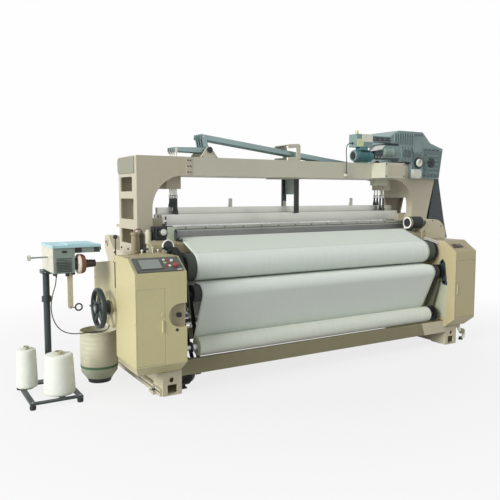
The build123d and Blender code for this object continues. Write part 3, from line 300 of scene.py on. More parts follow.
# %% [markdown]
# The CAD solids have knife edges, which no real casting or folded sheet has. Their meshes
# stay as they are, and a stack of modifiers rounds them at render time: weld the split
# corners, merge flat triangles into whole faces, bevel what is sharp, and weight the
# normals by face size so that big faces stay flat to the light.


# %% Round the edges of a CAD node
crease = 38                 # degrees; an edge sharper than this is not smooth


def round_edges(piece, width):
    """A bevel of this width, with normals that keep big faces flat."""
    edge = piece.modifiers.new("soft edges", "BEVEL")
    edge.width = width
    edge.segments = 2
    edge.angle_limit = radians(crease)
    piece.modifiers.new("face weights", "WEIGHTED_NORMAL").keep_sharp = True


def soften(node, width):
    """Whole faces first, then a bevel on every sharp edge of a node."""
    weld = node.modifiers.new("weld", "WELD")
    weld.merge_threshold = 0.00002
    flat = node.modifiers.new("whole faces", "DECIMATE")
    flat.decimate_type = "DISSOLVE"
    flat.angle_limit = radians(0.4)
    round_edges(node, width)


def dress(names, material, width=0.0):
    """Gives CAD nodes a finish, and soft edges where a width is given."""
    for name in names:
        node = frame["nodes"][name]
        node.data.materials.clear()
        node.data.materials.append(material)
        if width:
            soften(node, width)


shed_numbers = (1, 2, 3, 4)


def numbered(name):
    return [f"{name}_{number}" for number in shed_numbers]


dress(["left_cabinet", "gear_case"], cabinet_paint, 0.003)
dress(["right_cabinet"], aged_paint, 0.003)
dress(["left_cabinet_door"], cabinet_paint, 0.0012)
dress(["right_cabinet_door"], aged_paint, 0.0012)
dress(["side_frame_left", "side_frame_right"], casting_paint, 0.004)
dress(["gantry_post_left", "gantry_post_right"], gantry_paint, 0.004)
dress(["gantry_beam"], girder_paint, 0.004)
dress(["front_crossbeam", "rear_crossbeam"], beam_paint, 0.003)
dress(["chain_guard", "hand_lever"], dark_paint, 0.002)
dress(["breast_beam"], plate_paint, 0.002)
dress(["handwheel", "motor", "nozzle_pump"], motor_paint, 0.002)
dress(["dobby_body"], dobby_paint, 0.004)
dress(["feeder_stand", "yarn_eyelet"], dark_paint, 0.001)
dress(["feeder_box"], feeder_paint, 0.002)
dress(["friction_roller", "press_roller", "back_rest_roller", "main_shaft", "motor_pulley"], turned_steel)
dress(["guide_roller", "drive_belt"], black_rubber)
dress(["sley"] + numbered("heald_frame"), rail_alloy, 0.0015)
dress(["reed"], reed_steel, 0.0008)
dress(numbered("crank_left") + numbered("crank_right") + numbered("link_bar"), bar_steel, 0.0015)
dress(["control_panel"], panel_plastic, 0.0015)
dress(["emergency_button"], red_plastic, 0.001)
dress(["run_button", "dobby_knob"], pale_plastic, 0.001)
dress(["feeder_drum"], copper_paint, 0.001)
print("dressed", sum(bool(node.data.materials) for node in frame["nodes"].values()), "nodes")

# %% [markdown]
# Both cables are short and held at both ends. Each follows the same few points as its
# solid, joined by one smooth spline of order three, and hangs in a natural curve.


# %% Lay the two cables
def cable(name, node, points, radius):
    """A round cable along a smooth spline."""
    curve = bpy.data.curves.new(name, "CURVE")
    curve.dimensions = "3D"
    spline = curve.splines.new("NURBS")
    spline.points.add(len(points) - 1)
    for spot, point in zip(spline.points, points):
        spot.co = (*point, 1.0)
    spline.order_u = 3
    spline.use_endpoint_u = True
    curve.bevel_depth = radius
    curve.bevel_resolution = 4
    curve.use_fill_caps = True
    curve.materials.append(cable_sheath)
    piece = new_object(name, curve)
    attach(piece, "frame")
    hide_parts(node)
    print(name, "has", len(points), "points")


dobby_route = [
    (0.65, -0.23, 2.07), (0.585, -0.23, 2.07), (0.545, -0.254, 2.005),
    (0.535, -0.273, 1.93), (0.54, -0.27, 1.84), (0.54, -0.27, 1.762)]
feeder_route = [
    (-2.322, -0.3, 0.955), (-2.322, -0.3, 0.885), (-2.356, -0.301, 0.79),
    (-2.37, -0.298, 0.69), (-2.352, -0.29, 0.59), (-2.3, -0.278, 0.505),
    (-2.215, -0.255, 0.462), (-2.12, -0.228, 0.45), (-2.025, -0.2, 0.444),
    (-1.95, -0.175, 0.434), (-1.895, -0.157, 0.438), (-1.872, -0.149, 0.458),
    (-1.872, -0.149, 0.486)]
cable("dobby_lead", "dobby_cable", dobby_route, 0.0045)
cable("feeder_lead", "feeder_cable", feeder_route, 0.004)

# %% [markdown]
# Much on a loom is round: rollers, gears, rows of bolts on a circle. So the lesson first
# names the three directions of the machine, and a few ways to walk round a circle or along
# a path, which every later piece shares.

# %% Directions, circles and paths
along_x = Vector((1, 0, 0))
along_y = Vector((0, 1, 0))
upward = Vector((0, 0, 1))


def circle(count):
    """Angles that part a full turn into this many steps."""
    return [2 * pi * i / count for i in range(count)]


def heading(points, i):
    """The way a path runs at one of its points."""
    return (points[min(i + 1, len(points) - 1)] - points[max(i - 1, 0)]).normalized()


def around(x, axis, radius, angle):
    """A spot at this angle on a circle round an axis along X."""
    return Vector((x, axis[0] + radius * cos(angle), axis[1] + radius * sin(angle)))


print("a circle in four:", [round(angle, 2) for angle in circle(4)])

# %% [markdown]
# The remaining pieces are built from a few kinds of solid: blocks, round bars, turned
# profiles, hoops, pipes and cut plates. One class gathers them in a single mesh, each with
# its own finish, so that a lever with its bolts and knob stays one object that moves as one.


# %% Gather solids into one piece
class Piece:
    """Solids in one mesh, each with its own finish, in metres on the loom."""

    def __init__(self, name):
        self.name = name
        self.mesh = bmesh.new()
        self.finishes = []

    def stamp(self, faces, finish):
        """Gives new faces their finish."""
        if finish not in self.finishes:
            self.finishes.append(finish)
        for face in faces:
            face.material_index = self.finishes.index(finish)

    def rings(self, rings, finish, closed=False):
        """Skins a row of rings of points; closed joins the last to the first."""
        rows = [[self.mesh.verts.new(point) for point in ring] for ring in rings]
        faces = []
        for lower, upper in zip(rows, rows[1:] + rows[:1] if closed else rows[1:]):
            for i, vert in enumerate(lower):
                j = (i + 1) % len(lower)
                faces.append(self.mesh.faces.new((vert, lower[j], upper[j], upper[i])))
        if not closed:
            faces.append(self.mesh.faces.new(rows[0][::-1]))
            faces.append(self.mesh.faces.new(rows[-1]))
        self.stamp(faces, finish)

    def block(self, low, high, finish, turn=None):
        """A box between two corners, turned about its middle by a matrix."""
        low, high = Vector(low), Vector(high)
        centre = (low + high) / 2
        ring = [(low.x, low.y), (high.x, low.y), (high.x, high.y), (low.x, high.y)]
        layers = [[Vector((x, y, z)) for x, y in ring] for z in (low.z, high.z)]
        if turn:
            layers = [[centre + turn @ (point - centre) for point in layer] for layer in layers]
        self.rings(layers, finish)

    def turned(self, base, along, profile, finish, sides=32):
        """A lathe shape: profile is (distance along, radius) pairs from base."""
        base, along = Vector(base), Vector(along).normalized()
        out = along.orthogonal().normalized()
        across = along.cross(out)
        spokes = [out * cos(a) + across * sin(a) for a in circle(sides)]
        self.rings([[base + along * distance + radius * spoke for spoke in spokes]
                    for distance, radius in profile], finish)

    def rod(self, start, end, radius, finish, sides=16):
        length = (Vector(end) - Vector(start)).length
        self.turned(start, Vector(end) - Vector(start), [(0, radius), (length, radius)], finish, sides)

    def plate(self, outline, depth, finish):
        """A flat outline of points, carried along a depth vector."""
        depth = Vector(depth)
        self.rings([[Vector(p) for p in outline], [Vector(p) + depth for p in outline]], finish)

    def bolt(self, spot, along, size, finish):
        """A washer and a hexagon head on a face."""
        self.turned(spot, along, [(0, size * 1.05), (size * 0.2, size * 1.05)], finish, 20)
        self.turned(Vector(spot) + Vector(along).normalized() * size * 0.2, along,
                    [(0, size * 0.82), (size * 0.5, size * 0.82), (size * 0.62, size * 0.66)], finish, 6)

    def pipe(self, points, radius, finish, sides=12):
        """A bent pipe that follows points, with a ring square to its way at each."""
        points = [Vector(point) for point in points]
        side = None
        layers = []
        for i, point in enumerate(points):
            way = heading(points, i)
            side = way.orthogonal() if side is None else side - way * side.dot(way)
            side = side.normalized()
            other = way.cross(side)
            layers.append([point + radius * (side * cos(a) + other * sin(a)) for a in circle(sides)])
        self.rings(layers, finish)

    def hoop(self, centre, along, radius, outward, lengthways, finish, count, sides):
        """A ring round an axis; its section is an oval, outward and lengthways."""
        first = along_y if along == along_x else along_x
        spokes = [first * cos(t) + upward * sin(t) for t in circle(count)]
        self.rings([[Vector(centre) + spoke * (radius + outward * cos(a)) + along * lengthways * sin(a)
                     for a in circle(sides)] for spoke in spokes], finish, closed=True)

    def bolts(self, spots, along, size, finish):
        """The same bolt on each of these spots."""
        for spot in spots:
            self.bolt(spot, along, size, finish)

    def bolt_row(self, start, end, count, along, size, finish):
        """Evenly spaced bolts between two spots."""
        start, end = Vector(start), Vector(end)
        self.bolts([start.lerp(end, i / (count - 1)) for i in range(count)], along, size, finish)

    def front(self, outline, y, depth, finish):
        """A plate cut from (x, z) points, carried from y by a depth."""
        self.plate([(x, y, z) for x, z in outline], (0, depth, 0), finish)

    def side(self, outline, x, depth, finish):
        """A plate cut from (y, z) points, carried from x by a depth."""
        self.plate([(x, y, z) for y, z in outline], (depth, 0, 0), finish)

    def done(self, body, slot, bevel=0.0, replaces=()):
        """Makes the object, rounds its edges and lets it ride on a body."""
        bmesh.ops.recalc_face_normals(self.mesh, faces=self.mesh.faces)
        data = bpy.data.meshes.new(self.name)
        self.mesh.to_mesh(data)
        self.mesh.free()
        for finish in self.finishes:
            data.materials.append(finish)
        data.shade_smooth()
        data.set_sharp_from_angle(angle=radians(crease))
        piece = new_object(self.name, data)
        if bevel:
            round_edges(piece, bevel)
        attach(piece, body)
        if replaces:
            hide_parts(*replaces)
        print(self.name, len(data.polygons), "faces")


print("a piece knows:", [name for name in vars(Piece) if not name.startswith("_")])

# %% [markdown]
# The cloth runs forward from the reed over the big friction roller, turns back round the
# press roller, comes forward over the guide roller and hangs down to the roll. On the loom
# it is under tension, so it is drawn as a fine grid along that path, with only a slight
# wave between the rollers. The path is tangents and arcs, worked out from the axes.

# %% The cloth's path in the YZ plane
thick = 0.0016              # of the cloth
lift = 0.0013               # half the cloth and the gap below it
fell = (-0.345, 1.195)      # where the reed beats the last weft home


def axis(name):
    return (axis_of[name].y, axis_of[name].z)


def size_of(node):
    low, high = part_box(node)
    return high - low


friction, press, guide = axis("friction_turn"), axis("press_turn"), axis("guide_turn")
roll, rest, beam = axis("cloth_roll_turn"), axis("back_rest_turn"), axis("warp_beam_turn")
friction_r, press_r, guide_r, roll_r = 0.112, 0.04, size_of("guide_roller").z / 2, 0.076
rest_r, yarn_r = size_of("back_rest_roller").z / 2, 0.27


def arc(centre, radius, start, end, steps):
    """Points (y, z) on an arc between two angles in degrees."""
    turns = [radians(start + (end - start) * i / steps) for i in range(steps + 1)]
    return [(centre[0] + radius * cos(t), centre[1] + radius * sin(t)) for t in turns]


def touch_from(point, centre, radius, side):
    """Angle in degrees where a line from a point touches a circle."""
    dy, dz = point[0] - centre[0], point[1] - centre[1]
    return (atan2(dz, dy) + side * acos(radius / hypot(dy, dz))) * 180 / pi


def crossed(first, first_r, second, second_r, side):
    """Angle in degrees on the first circle of a tangent that crosses to the second."""
    dy, dz = second[0] - first[0], second[1] - first[1]
    return (atan2(dz, dy) + side * acos((first_r + second_r) / hypot(dy, dz))) * 180 / pi


def spaced(points, step):
    """The same path with a point every step metres on its straight runs."""
    even = [Vector(points[0])]
    for point in points[1:]:
        start, end = even[-1], Vector(point)
        count = max(1, round((end - start).length / step))
        even += [start.lerp(end, (i + 1) / count) for i in range(count)]
    return even


onto_friction = touch_from(fell, friction, friction_r + lift, 1)
nip = atan2(press[1] - friction[1], press[0] - friction[0]) * 180 / pi
off_press = crossed(press, press_r + lift, guide, guide_r + lift, 1)
off_guide = crossed(guide, guide_r + lift, roll, roll_r + lift, -1) + 360
cloth_path = [fell]
cloth_path += arc(friction, friction_r + lift, onto_friction, nip + 360, 36)
cloth_path += arc(press, press_r + lift, nip + 180, off_press, 24)
cloth_path += arc(guide, guide_r + lift, off_press + 180, off_guide, 20)
cloth_path += arc(roll, roll_r + lift, off_guide - 180, off_guide - 188, 2)
print("cloth path:", len(cloth_path), "points")

# %% [markdown]
# A woven web is a grid of faces with a weave in its shading. The mesh carries coordinates in
# metres across and along the cloth, and the weave, two crossing waves of thread, is laid out
# in them. The shading also carries faint warp streaks, because no two yarns are quite alike.

# %% The weave
wave_period = 0.314         # metres between crests where a wave pattern has scale 1


def woven(name, colour, pitch, along_only=False, source="UV"):
    """Cloth with threads this far apart in metres."""
    cloth = Finish(name, swatch(*colour), 0.82)
    cloth.shader.inputs["Sheen Weight"].default_value = 0.25
    shade = darker(cloth.colour, 0.8)
    where = cloth.place(source=source)
    fine = [("Vector", where), ("Scale", wave_period / pitch)]
    threads = cloth.add("TexWave", fine, bands_direction="X").outputs["Fac"]
    if not along_only:
        picks = cloth.add("TexWave", fine, bands_direction="Y")
        threads = cloth.times(threads, picks.outputs["Fac"])
    stretched = cloth.add("Mapping", [("Vector", where), ("Scale", (90, 0.7, 1))]).outputs["Vector"]
    streak = cloth.add("TexNoise", [("Vector", stretched), ("Scale", 1.0), ("Detail", 5.0)]).outputs["Fac"]
    cloth.tint(threads, shade, 0.18)
    cloth.tint(cloth.mask(streak, 0.4, 0.75), shade, 0.3)
    cloth.raise_by(threads, pitch * 0.25, 0.6)
    return cloth


def web(name, path, edges, columns, finish, wave, body, node):
    """A thin sheet along a path, waved a little where nothing holds it."""
    points = spaced(path, 0.012)
    width = edges[1] - edges[0]
    runs = [0.0]
    for before, after in zip(points, points[1:]):
        runs.append(runs[-1] + (after - before).length)
    mesh = bmesh.new()
    uv = mesh.loops.layers.uv.new("cloth")
    rows = []
    for i, point in enumerate(points):
        way = heading(points, i)
        row = []
        for j in range(columns + 1):
            x = edges[0] + width * j / columns
            out = wave(x, runs[i], runs[-1])
            row.append(mesh.verts.new((x, point.x - way.y * out, point.y + way.x * out)))
        rows.append(row)
    for i in range(len(rows) - 1):
        for j in range(columns):
            face = mesh.faces.new((rows[i][j], rows[i + 1][j], rows[i + 1][j + 1], rows[i][j + 1]))
            corners = ((j, i), (j, i + 1), (j + 1, i + 1), (j + 1, i))
            for loop, (column, row) in zip(face.loops, corners):
                loop[uv].uv = (width * column / columns, runs[row])
    data = bpy.data.meshes.new(name)
    mesh.to_mesh(data)
    mesh.free()
    data.materials.append(finish)
    data.shade_smooth()
    piece = new_object(name, data)
    shell = piece.modifiers.new("thickness", "SOLIDIFY")
    shell.thickness = thick
    shell.offset = 0
    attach(piece, body)
    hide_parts(node)
    print(name, "is", round(runs[-1], 3), "m long,", len(data.polygons), "faces")


def free_wave(x, run, whole):
    """Slight outward waves, only on the long free run down to the roll."""
    free = max(0.0, 1 - abs(run - (whole - 0.24)) / 0.17)
    return free * free * (0.0012 * sin(x * 9.0 + run * 4) + 0.0008 * sin(x * 23.0 + 1.3))


# Where the cloth bends over the beam, painted shade: a faint dark line, and a darker strip above it
cloth_edges = (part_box("cloth_web")[0].x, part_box("cloth_web")[1].x)
cloth_weave = woven("cloth weave", (222, 229, 220), 0.0016)
touch = Vector(cloth_path[1])
bend_shade_line = (touch - Vector(fell)).length + (friction_r + lift) * radians(105 - onto_friction)
along_cloth = cloth_weave.add("SeparateXYZ", [(0, cloth_weave.place(source="UV"))]).outputs["Y"]
cloth_weave.tint(cloth_weave.mask(along_cloth, bend_shade_line, bend_shade_line - 0.004), swatch(190, 198, 180), 0.3)
from_bend_shade = cloth_weave.math("ABSOLUTE", cloth_weave.math("ADD", along_cloth, -bend_shade_line))
cloth_weave.tint(cloth_weave.mask(from_bend_shade, 0.004, 0.001), swatch(132, 140, 128), 0.55)
web("cloth", cloth_path, cloth_edges, 100, cloth_weave.material, free_wave, "frame", "cloth_web")

# %% [markdown]
# The warp is not cloth yet: hundreds of parallel ends from the beam behind, over the back
# rest, through healds and reed. At this distance it reads as a sheet with fine lines that
# run along it, so it uses the same web with threads in one direction only.

# %% The warp
warp_start = (fell[0] + 0.0007, fell[1])
onto_rest = touch_from(warp_start, rest, rest_r + lift, -1)
down = (beam[0] - rest[0], beam[1] - rest[1])
off_rest = (atan2(down[1], down[0]) + acos((rest_r - yarn_r) / hypot(*down))) * 180 / pi
if off_rest > onto_rest:
    off_rest -= 360
warp_path = [warp_start]
warp_path += arc(rest, rest_r + lift, onto_rest, off_rest, 16)
warp_path += arc(beam, yarn_r + lift, off_rest, off_rest - 3, 2)
warp_ends = woven("warp ends", (228, 230, 222), 0.003, along_only=True)
web("warp", warp_path, cloth_edges, 60, warp_ends.material, lambda x, run, whole: 0.0,
    "frame", "warp_sheet")

# %% [markdown]
# The take-up roller is a big drum that grips the cloth, so it is covered in a grit tape.
# A gear wheel on its left end drives it. The teeth of a gear are a ring of trapezoids: a
# cut of the outline that goes in and out between two radii, carried across the width.


# %% A toothed rim
def gear(piece, centre, x, tip, root, bore, teeth, finish):
    """A toothed ring around an X axis, between two X values."""
    outer, inner = [], []
    for tooth in range(teeth):
        for share, radius in ((0.0, root), (0.28, root), (0.42, tip), (0.86, tip)):
            turn = 2 * pi * (tooth + share) / teeth
            outer.append((cos(turn) * radius, sin(turn) * radius))
            inner.append((cos(turn) * bore, sin(turn) * bore))
    rings = [[Vector((x[side], centre[0] + y, centre[1] + z)) for y, z in loop]
             for loop, side in ((inner, 0), (outer, 0), (outer, 1), (inner, 1))]
    piece.rings(rings, finish, closed=True)


def spoked(piece, centre, x, hub, rim, count, width, finish):
    """Flat spokes from a hub out to a rim, for a wheel on an X axis."""
    middle = Vector(((x[0] + x[1]) / 2, *centre))
    for angle in circle(count):
        turn = Matrix.Rotation(angle, 3, "X")
        low = Vector((x[0], centre[0] - width / 2, centre[1] + hub * 0.7))
        high = Vector((x[1], centre[0] + width / 2, centre[1] + rim))
        corners = [(low.y, low.z), (high.y, low.z), (centre[0] + width * 0.32, high.z),
                   (centre[0] - width * 0.32, high.z)]
        outline = [middle + turn @ (Vector((x[0], y, z)) - middle) for y, z in corners]
        piece.plate(outline, (x[1] - x[0], 0, 0), finish)


grit = Finish("grit tape", swatch(78, 86, 78), 0.85)
grit.tint(grit.mask(grit.noise(260.0, 2.0), 0.45, 0.6), swatch(52, 58, 52), 0.7)
grit.raise_by(grit.noise(700.0, 2.0), 0.0006, 0.8)
take_up = Piece("take_up_roller")
take_up.turned((-1.4, *friction), along_x, [(0, 0.1), (0, 0.1115), (0.0005, 0.112), (2.7695, 0.112),
                                           (2.77, 0.1115), (2.77, 0.1)], grit.material, 72)
take_up.rod((-1.6, *friction), (1.6, *friction), 0.0279, turned_steel, 28)
gear(take_up, friction, (-1.484, -1.458), 0.165, 0.157, 0.134, 66, dark_steel)
spoked(take_up, friction, (-1.478, -1.464), 0.05, 0.138, 6, 0.05, dark_steel)
take_up.turned((-1.492, *friction), along_x, [(0, 0.046), (0.004, 0.052), (0.038, 0.052), (0.042, 0.046)],
               dark_steel, 36)
for side in (-1.4025, 1.37):
    take_up.turned((side, *friction), along_x, [(0, 0.094), (0.0025, 0.094)], dark_steel, 40)
take_up.done("friction", "roller_steel", 0.0008, ["friction_roller"])

# %% [markdown]
# A web wound on a roll is almost a plain drum, yet two things give it away: the ends show
# the edges of the layers, and the surface follows small lumps from the layers below.

# %% Cloth roll
wound_cloth = woven("wound cloth", (224, 229, 214), 0.0022, along_only=True, source="Object").material
cloth_roll = Piece("wound_cloth_roll")
low, high = cloth_edges
length = high - low
profile = [(0.0006 * (i % 2), 0.034 + 0.0405 * i / 12) for i in range(13)]
profile += [(length * i / 90, roll_r - 0.0006 - 0.0005 * sin(i * 2.1) * sin(i * 0.7)) for i in range(1, 90)]
profile += [(length - 0.0006 * (i % 2), 0.034 + 0.0405 * i / 12) for i in range(12, -1, -1)]
cloth_roll.turned((low, *roll), along_x, profile, wound_cloth, 64)
cloth_roll.rod((low - 0.045, *roll), (high + 0.045, *roll), 0.0338, turned_steel, 32)
cloth_roll.rod((-1.6, *roll), (1.6, *roll), 0.0249, turned_steel, 24)
gear(cloth_roll, roll, (1.352, 1.372), 0.078, 0.071, 0.02, 34, dark_steel)
cloth_roll.turned((low - 0.06, *roll), along_x,
                  [(0, 0.03), (0.002, 0.044), (0.013, 0.044), (0.015, 0.036)], dark_steel, 32)
cloth_roll.done("cloth_roll", "cloth", 0.0, ["cloth_roll"])

# %% [markdown]
# The warp beam at the back is a yarn-wound barrel between two cast flanges. A flange is a
# disc with a thick rim and ribs, so it stays flat under the push of the yarn.

# %% Warp beam
wound_yarn = woven("wound yarn", (224, 226, 216), 0.003, along_only=True, source="Object").material
beam_piece = Piece("wound_warp_beam")
profile = [(length * i / 120, yarn_r - 0.0008 - 0.0007 * sin(i * 1.3) ** 2) for i in range(121)]
beam_piece.turned((low, *beam), along_x, profile, wound_yarn, 96)
beam_piece.rod((-1.6, *beam), (1.6, *beam), 0.0449, turned_steel, 32)
flange_rib = ((-0.006, 0.09), (0.006, 0.09), (0.005, 0.345), (-0.005, 0.345))
for start, way in ((low, -1), (high, 1)):
    beam_piece.turned((start, *beam), along_x * way,
                      [(0, 0.36), (0.02, 0.36), (0.0205, 0.345), (0.0125, 0.338), (0.0125, 0.12),
                       (0.02, 0.1), (0.0315, 0.088), (0.0315, 0.05)], casting_paint, 96)
    middle = Vector((start, *beam))
    for angle in circle(12):
        turn = Matrix.Rotation(angle, 3, "X")
        beam_piece.plate([middle + turn @ Vector((way * 0.012, dy, dz)) for dy, dz in flange_rib],
                         (way * 0.0075, 0, 0), casting_paint)
    beam_piece.bolts([around(start + way * 0.0305, beam, 0.068, angle) for angle in circle(6)],
                     along_x * way, 0.006, dark_steel)
beam_piece.done("warp_beam", "warp", 0.0, ["warp_beam"])

# %% [markdown]
# At each end the rollers run in housings with pressed covers, and behind the right cabinet
# small gears pass the drive from roller to roller. They sit in the shade, but their dark
# teeth and bright bolts are what fills the gap between the cloth and the cabinets.

# %% Bearing covers and the right-hand gears
covers = Piece("bearing_covers")
for spot, radius in ((guide, 0.026), (roll, 0.026), (rest, 0.026), (beam, 0.046)):
    for x, way in ((-1.6105, -1), (1.6105, 1)):
        covers.turned((x - way * 0.001, *spot), along_x * way,
                      [(0, radius + 0.014), (0.008, radius + 0.014),
                       (0.013, radius + 0.004)], dark_steel, 28)
for x, way in ((-1.509, 1), (1.509, -1)):
    for spot, radius in ((friction, 0.044), (guide, 0.042), (roll, 0.041)):
        covers.bolts([around(x, spot, radius * 1.02, pi / 4 + angle) for angle in circle(4)],
                     along_x * way, 0.0055, turned_steel)
covers.done("frame", "roller_steel", 0.0006)

guide_gear = Piece("guide_gear")
gear(guide_gear, guide, (1.392, 1.412), 0.068, 0.061, 0.028, 30, dark_steel)
guide_gear.turned((1.388, *guide), along_x, [(0, 0.036), (0.028, 0.036), (0.031, 0.032)], dark_steel, 28)
guide_gear.done("guide", "roller_steel", 0.0006)

friction_gear = Piece("friction_right_gear")
gear(friction_gear, friction, (1.392, 1.416), 0.098, 0.092, 0.072, 42, dark_steel)
spoked(friction_gear, friction, (1.397, 1.411), 0.04, 0.075, 5, 0.03, dark_steel)
friction_gear.turned((1.388, *friction), along_x,
                     [(0, 0.044), (0.032, 0.044), (0.036, 0.038)], dark_steel, 28)
friction_gear.done("friction", "roller_steel", 0.0006)

guards = Piece("edge_guards")
olive_plate = paint("olive plate paint", (96, 96, 74), worn_steel, 0.5)
painted_shade_plate_paint = paint("grey-green plate paint with painted shade", (178, 182, 156), bare_primer, 0.5)
guards.side([(-0.745, 0.7), (-0.64, 0.73), (-0.56, 0.4), (-0.655, 0.385)], 1.3805, 0.0065, olive_plate)
guards.rod((1.386, -0.665, 0.62), (1.442, -0.665, 0.62), 0.012, dark_steel)
for lift_up in (0.0, 0.016):
    guards.pipe([(1.3, -0.596, 1.099 + lift_up), (1.345, -0.628, 1.088 + lift_up),
                 (1.392, -0.66, 1.066 + lift_up), (1.442, -0.69, 1.04 + lift_up)], 0.006, rail_alloy)
guards.block((1.437, -0.447, 1.086), (1.49, -0.444, 1.165), plate_paint)
# A grey-green plate on the cabinet's inner face: painted shade where that face lies in shadow
guards.side([(-0.8, 0.69), (-0.64, 0.64), (-0.6, 0.3), (-0.79, 0.3)], 1.4385, 0.003, painted_shade_plate_paint)
guards.done("frame", "dark_paint", 0.0006)

# %% [markdown]
# A heald frame is a light alloy frame full of thin steel healds, each with an eye for one
# yarn. A real frame holds thousands. Every tenth of them already gives the eye the same
# grey shimmer, and one mesh of thin strips for each frame keeps the count low.

# %% Healds, rail grooves and spacers
heald_y = (-0.115, -0.07, -0.025, 0.02)
heald_window = ((0.89, 1.288), (0.89, 1.288), (0.948, 1.346), (0.948, 1.346))
half_rod = 1.345
random.seed(7)
for number, y, (below, above) in zip(shed_numbers, heald_y, heald_window):
    healds = Piece(f"healds_{number}")
    for rod_z in (below + 0.022, above - 0.022):
        healds.block((-half_rod, y - 0.004, rod_z - 0.006),
                     (half_rod, y - 0.001, rod_z + 0.006), dark_steel)
    eye_z = (below + above) / 2
    for i in range(300):
        x = -1.315 + 2.58 * (i + random.uniform(-0.2, 0.2)) / 299
        healds.block((x - 0.0008, y - 0.0009, below + 0.016),
                     (x + 0.0008, y + 0.0009, above - 0.016), turned_steel)
        if i % 2:
            healds.block((x - 0.0016, y - 0.0014, eye_z - 0.006),
                         (x + 0.0016, y + 0.0014, eye_z + 0.006), turned_steel)
    top = above + 0.094
    for offset in (0.018, 0.047, 0.078):
        for rail in (above, below - 0.06):
            healds.block((-1.372, y - 0.0127, rail + offset * 0.8),
                         (1.372, y - 0.0118, rail + offset * 0.8 + 0.006), rail_alloy)
    for x in (-1.24, 1.1825):
        healds.turned((x, y, top - 0.002), upward,
                      [(0, 0.017), (0.03, 0.017), (0.034, 0.012), (0.05, 0.012)], dark_steel, 20)
        healds.rod((x, y, top + 0.04), (x, y, 1.548), 0.0102, dark_steel, 14)
        healds.turned((x, y, 1.52), upward, [(0, 0.013), (0.022, 0.013), (0.026, 0.01)], turned_steel, 18)
    healds.done(f"heald_{number}", "heald_alloy")

spacers = Piece("heald_spacers")
for x in (-0.633, 0.839):
    spacers.block((x - 0.019, 0.004, 1.436), (x + 0.019, 0.012, 1.518), pale_plastic)
    spacers.block((x - 0.013, 0.002, 1.436), (x + 0.013, 0.03, 1.466), pale_plastic)
spacers.done("heald_4", "pale_plastic", 0.002)

# %% [markdown]
# The reed is a comb of flat dents that beats each weft home. Its dents stand only a few
# millimetres apart, so from here they blend to a fine vertical ruling below the cap.

# %% Reed dents and the sley's bolts
dents = Piece("reed_dents")
dent_count = 520
for i in range(dent_count):
    x = -1.325 + 2.615 * i / (dent_count - 1)
    dents.block((x - 0.0006, -0.2985, 1.178), (x + 0.0006, -0.2915, 1.246), turned_steel)
dents.block((-1.325, -0.3285, 1.258), (1.29, -0.3268, 1.264), dark_steel)
dents.done("sley", "sley_alloy")
sley_bolts = Piece("sley_bolts")
sley_bolts.bolt_row((-1.25, -0.3265, 1.272), (1.2, -0.3265, 1.272), 14, -along_y, 0.006, dark_steel)
sley_bolts.done("sley", "sley_alloy")

# %% [markdown]
# The cranks swing on shafts with collars, and each link bar hangs on pins with washers.
# The pins turn with their cranks, so they ride with them.

# %% Pins and collars of the cranks
left_pivot, left_pin = (-0.94, 1.947), (-0.975, 2.066)
right_pivot, right_pin = (1.0325, 1.8815), (1.05, 1.822)
for number, y in zip(shed_numbers, heald_y):
    for side, pin in (("left", left_pin), ("right", right_pin)):
        pins = Piece(f"pins_{side}_{number}")
        for face in (-1, 1):
            pins.turned((pin[0], y + face * 0.0065, pin[1]), along_y * face,
                        [(0, 0.011), (0.003, 0.011), (0.0032, 0.0075), (0.0055, 0.0065)], turned_steel, 18)
        pins.done(f"crank_{side}_{number}", "link_steel")
collars = Piece("crank_collars")
for pivot in (left_pivot, right_pivot):
    for y, way in ((-0.174, -1), (0.084, 1)):
        collars.turned((pivot[0], y - way * 0.001, pivot[1]), along_y * way,
                       [(0, 0.027), (0.009, 0.027), (0.011, 0.022), (0.011, 0.01), (0.017, 0.009)],
                       dark_steel, 28)
collars.done("frame", "link_steel", 0.0006)

# %% [markdown]
# The cabinets are folded sheet. Their doors hang on hidden hinges, so all that shows is a
# rubber seal in the gap and a small quarter-turn lock. The lock rides with its door, and the
# seal stays on the cabinet.

# %% Doors and cabinets
door_face, left_wall, right_wall = -0.8948, -1.9098, 1.7428
near, far = 0.0002, 0.0018         # the seal's two edges, outside the door's own
seals = Piece("door_seals")
openings = (((-1.9, -1.684), (0.305, 0.868)), ((1.458, 1.733), (0.312, 0.893)))
for x, z in openings:
    for low_x, high_x, low_z, high_z in (
            (x[0] - far, x[0] - near, z[0] - far, z[1] + far),
            (x[1] + near, x[1] + far, z[0] - far, z[1] + far),
            (x[0] - far, x[1] + far, z[0] - far, z[0] - near),
            (x[0] - far, x[1] + far, z[1] + near, z[1] + far)):
        seals.block((low_x, door_face, low_z), (high_x, -0.8925, high_z), black_rubber)
seals.done("frame", "rubber")

for body, lock_x, height, finish in (("left_door", -1.7, 0.672, cabinet_paint),
                                     ("right_door", 1.476, 0.688, aged_paint)):
    lock = Piece(f"{body}_lock")
    lock.turned((lock_x, door_face, height), -along_y,
                [(0, 0.013), (0.003, 0.013), (0.0042, 0.011), (0.0042, 0.006),
                 (0.0025, 0.0055)], finish, 28)
    lock.done(body, "cabinet_paint", 0.0008)

# %% [markdown]
# The notch in the left cabinet shows a pale plate with a square drive end in its middle, for
# a crank that winds the cloth by hand. Round its edge the sheet is turned in to a small lip.

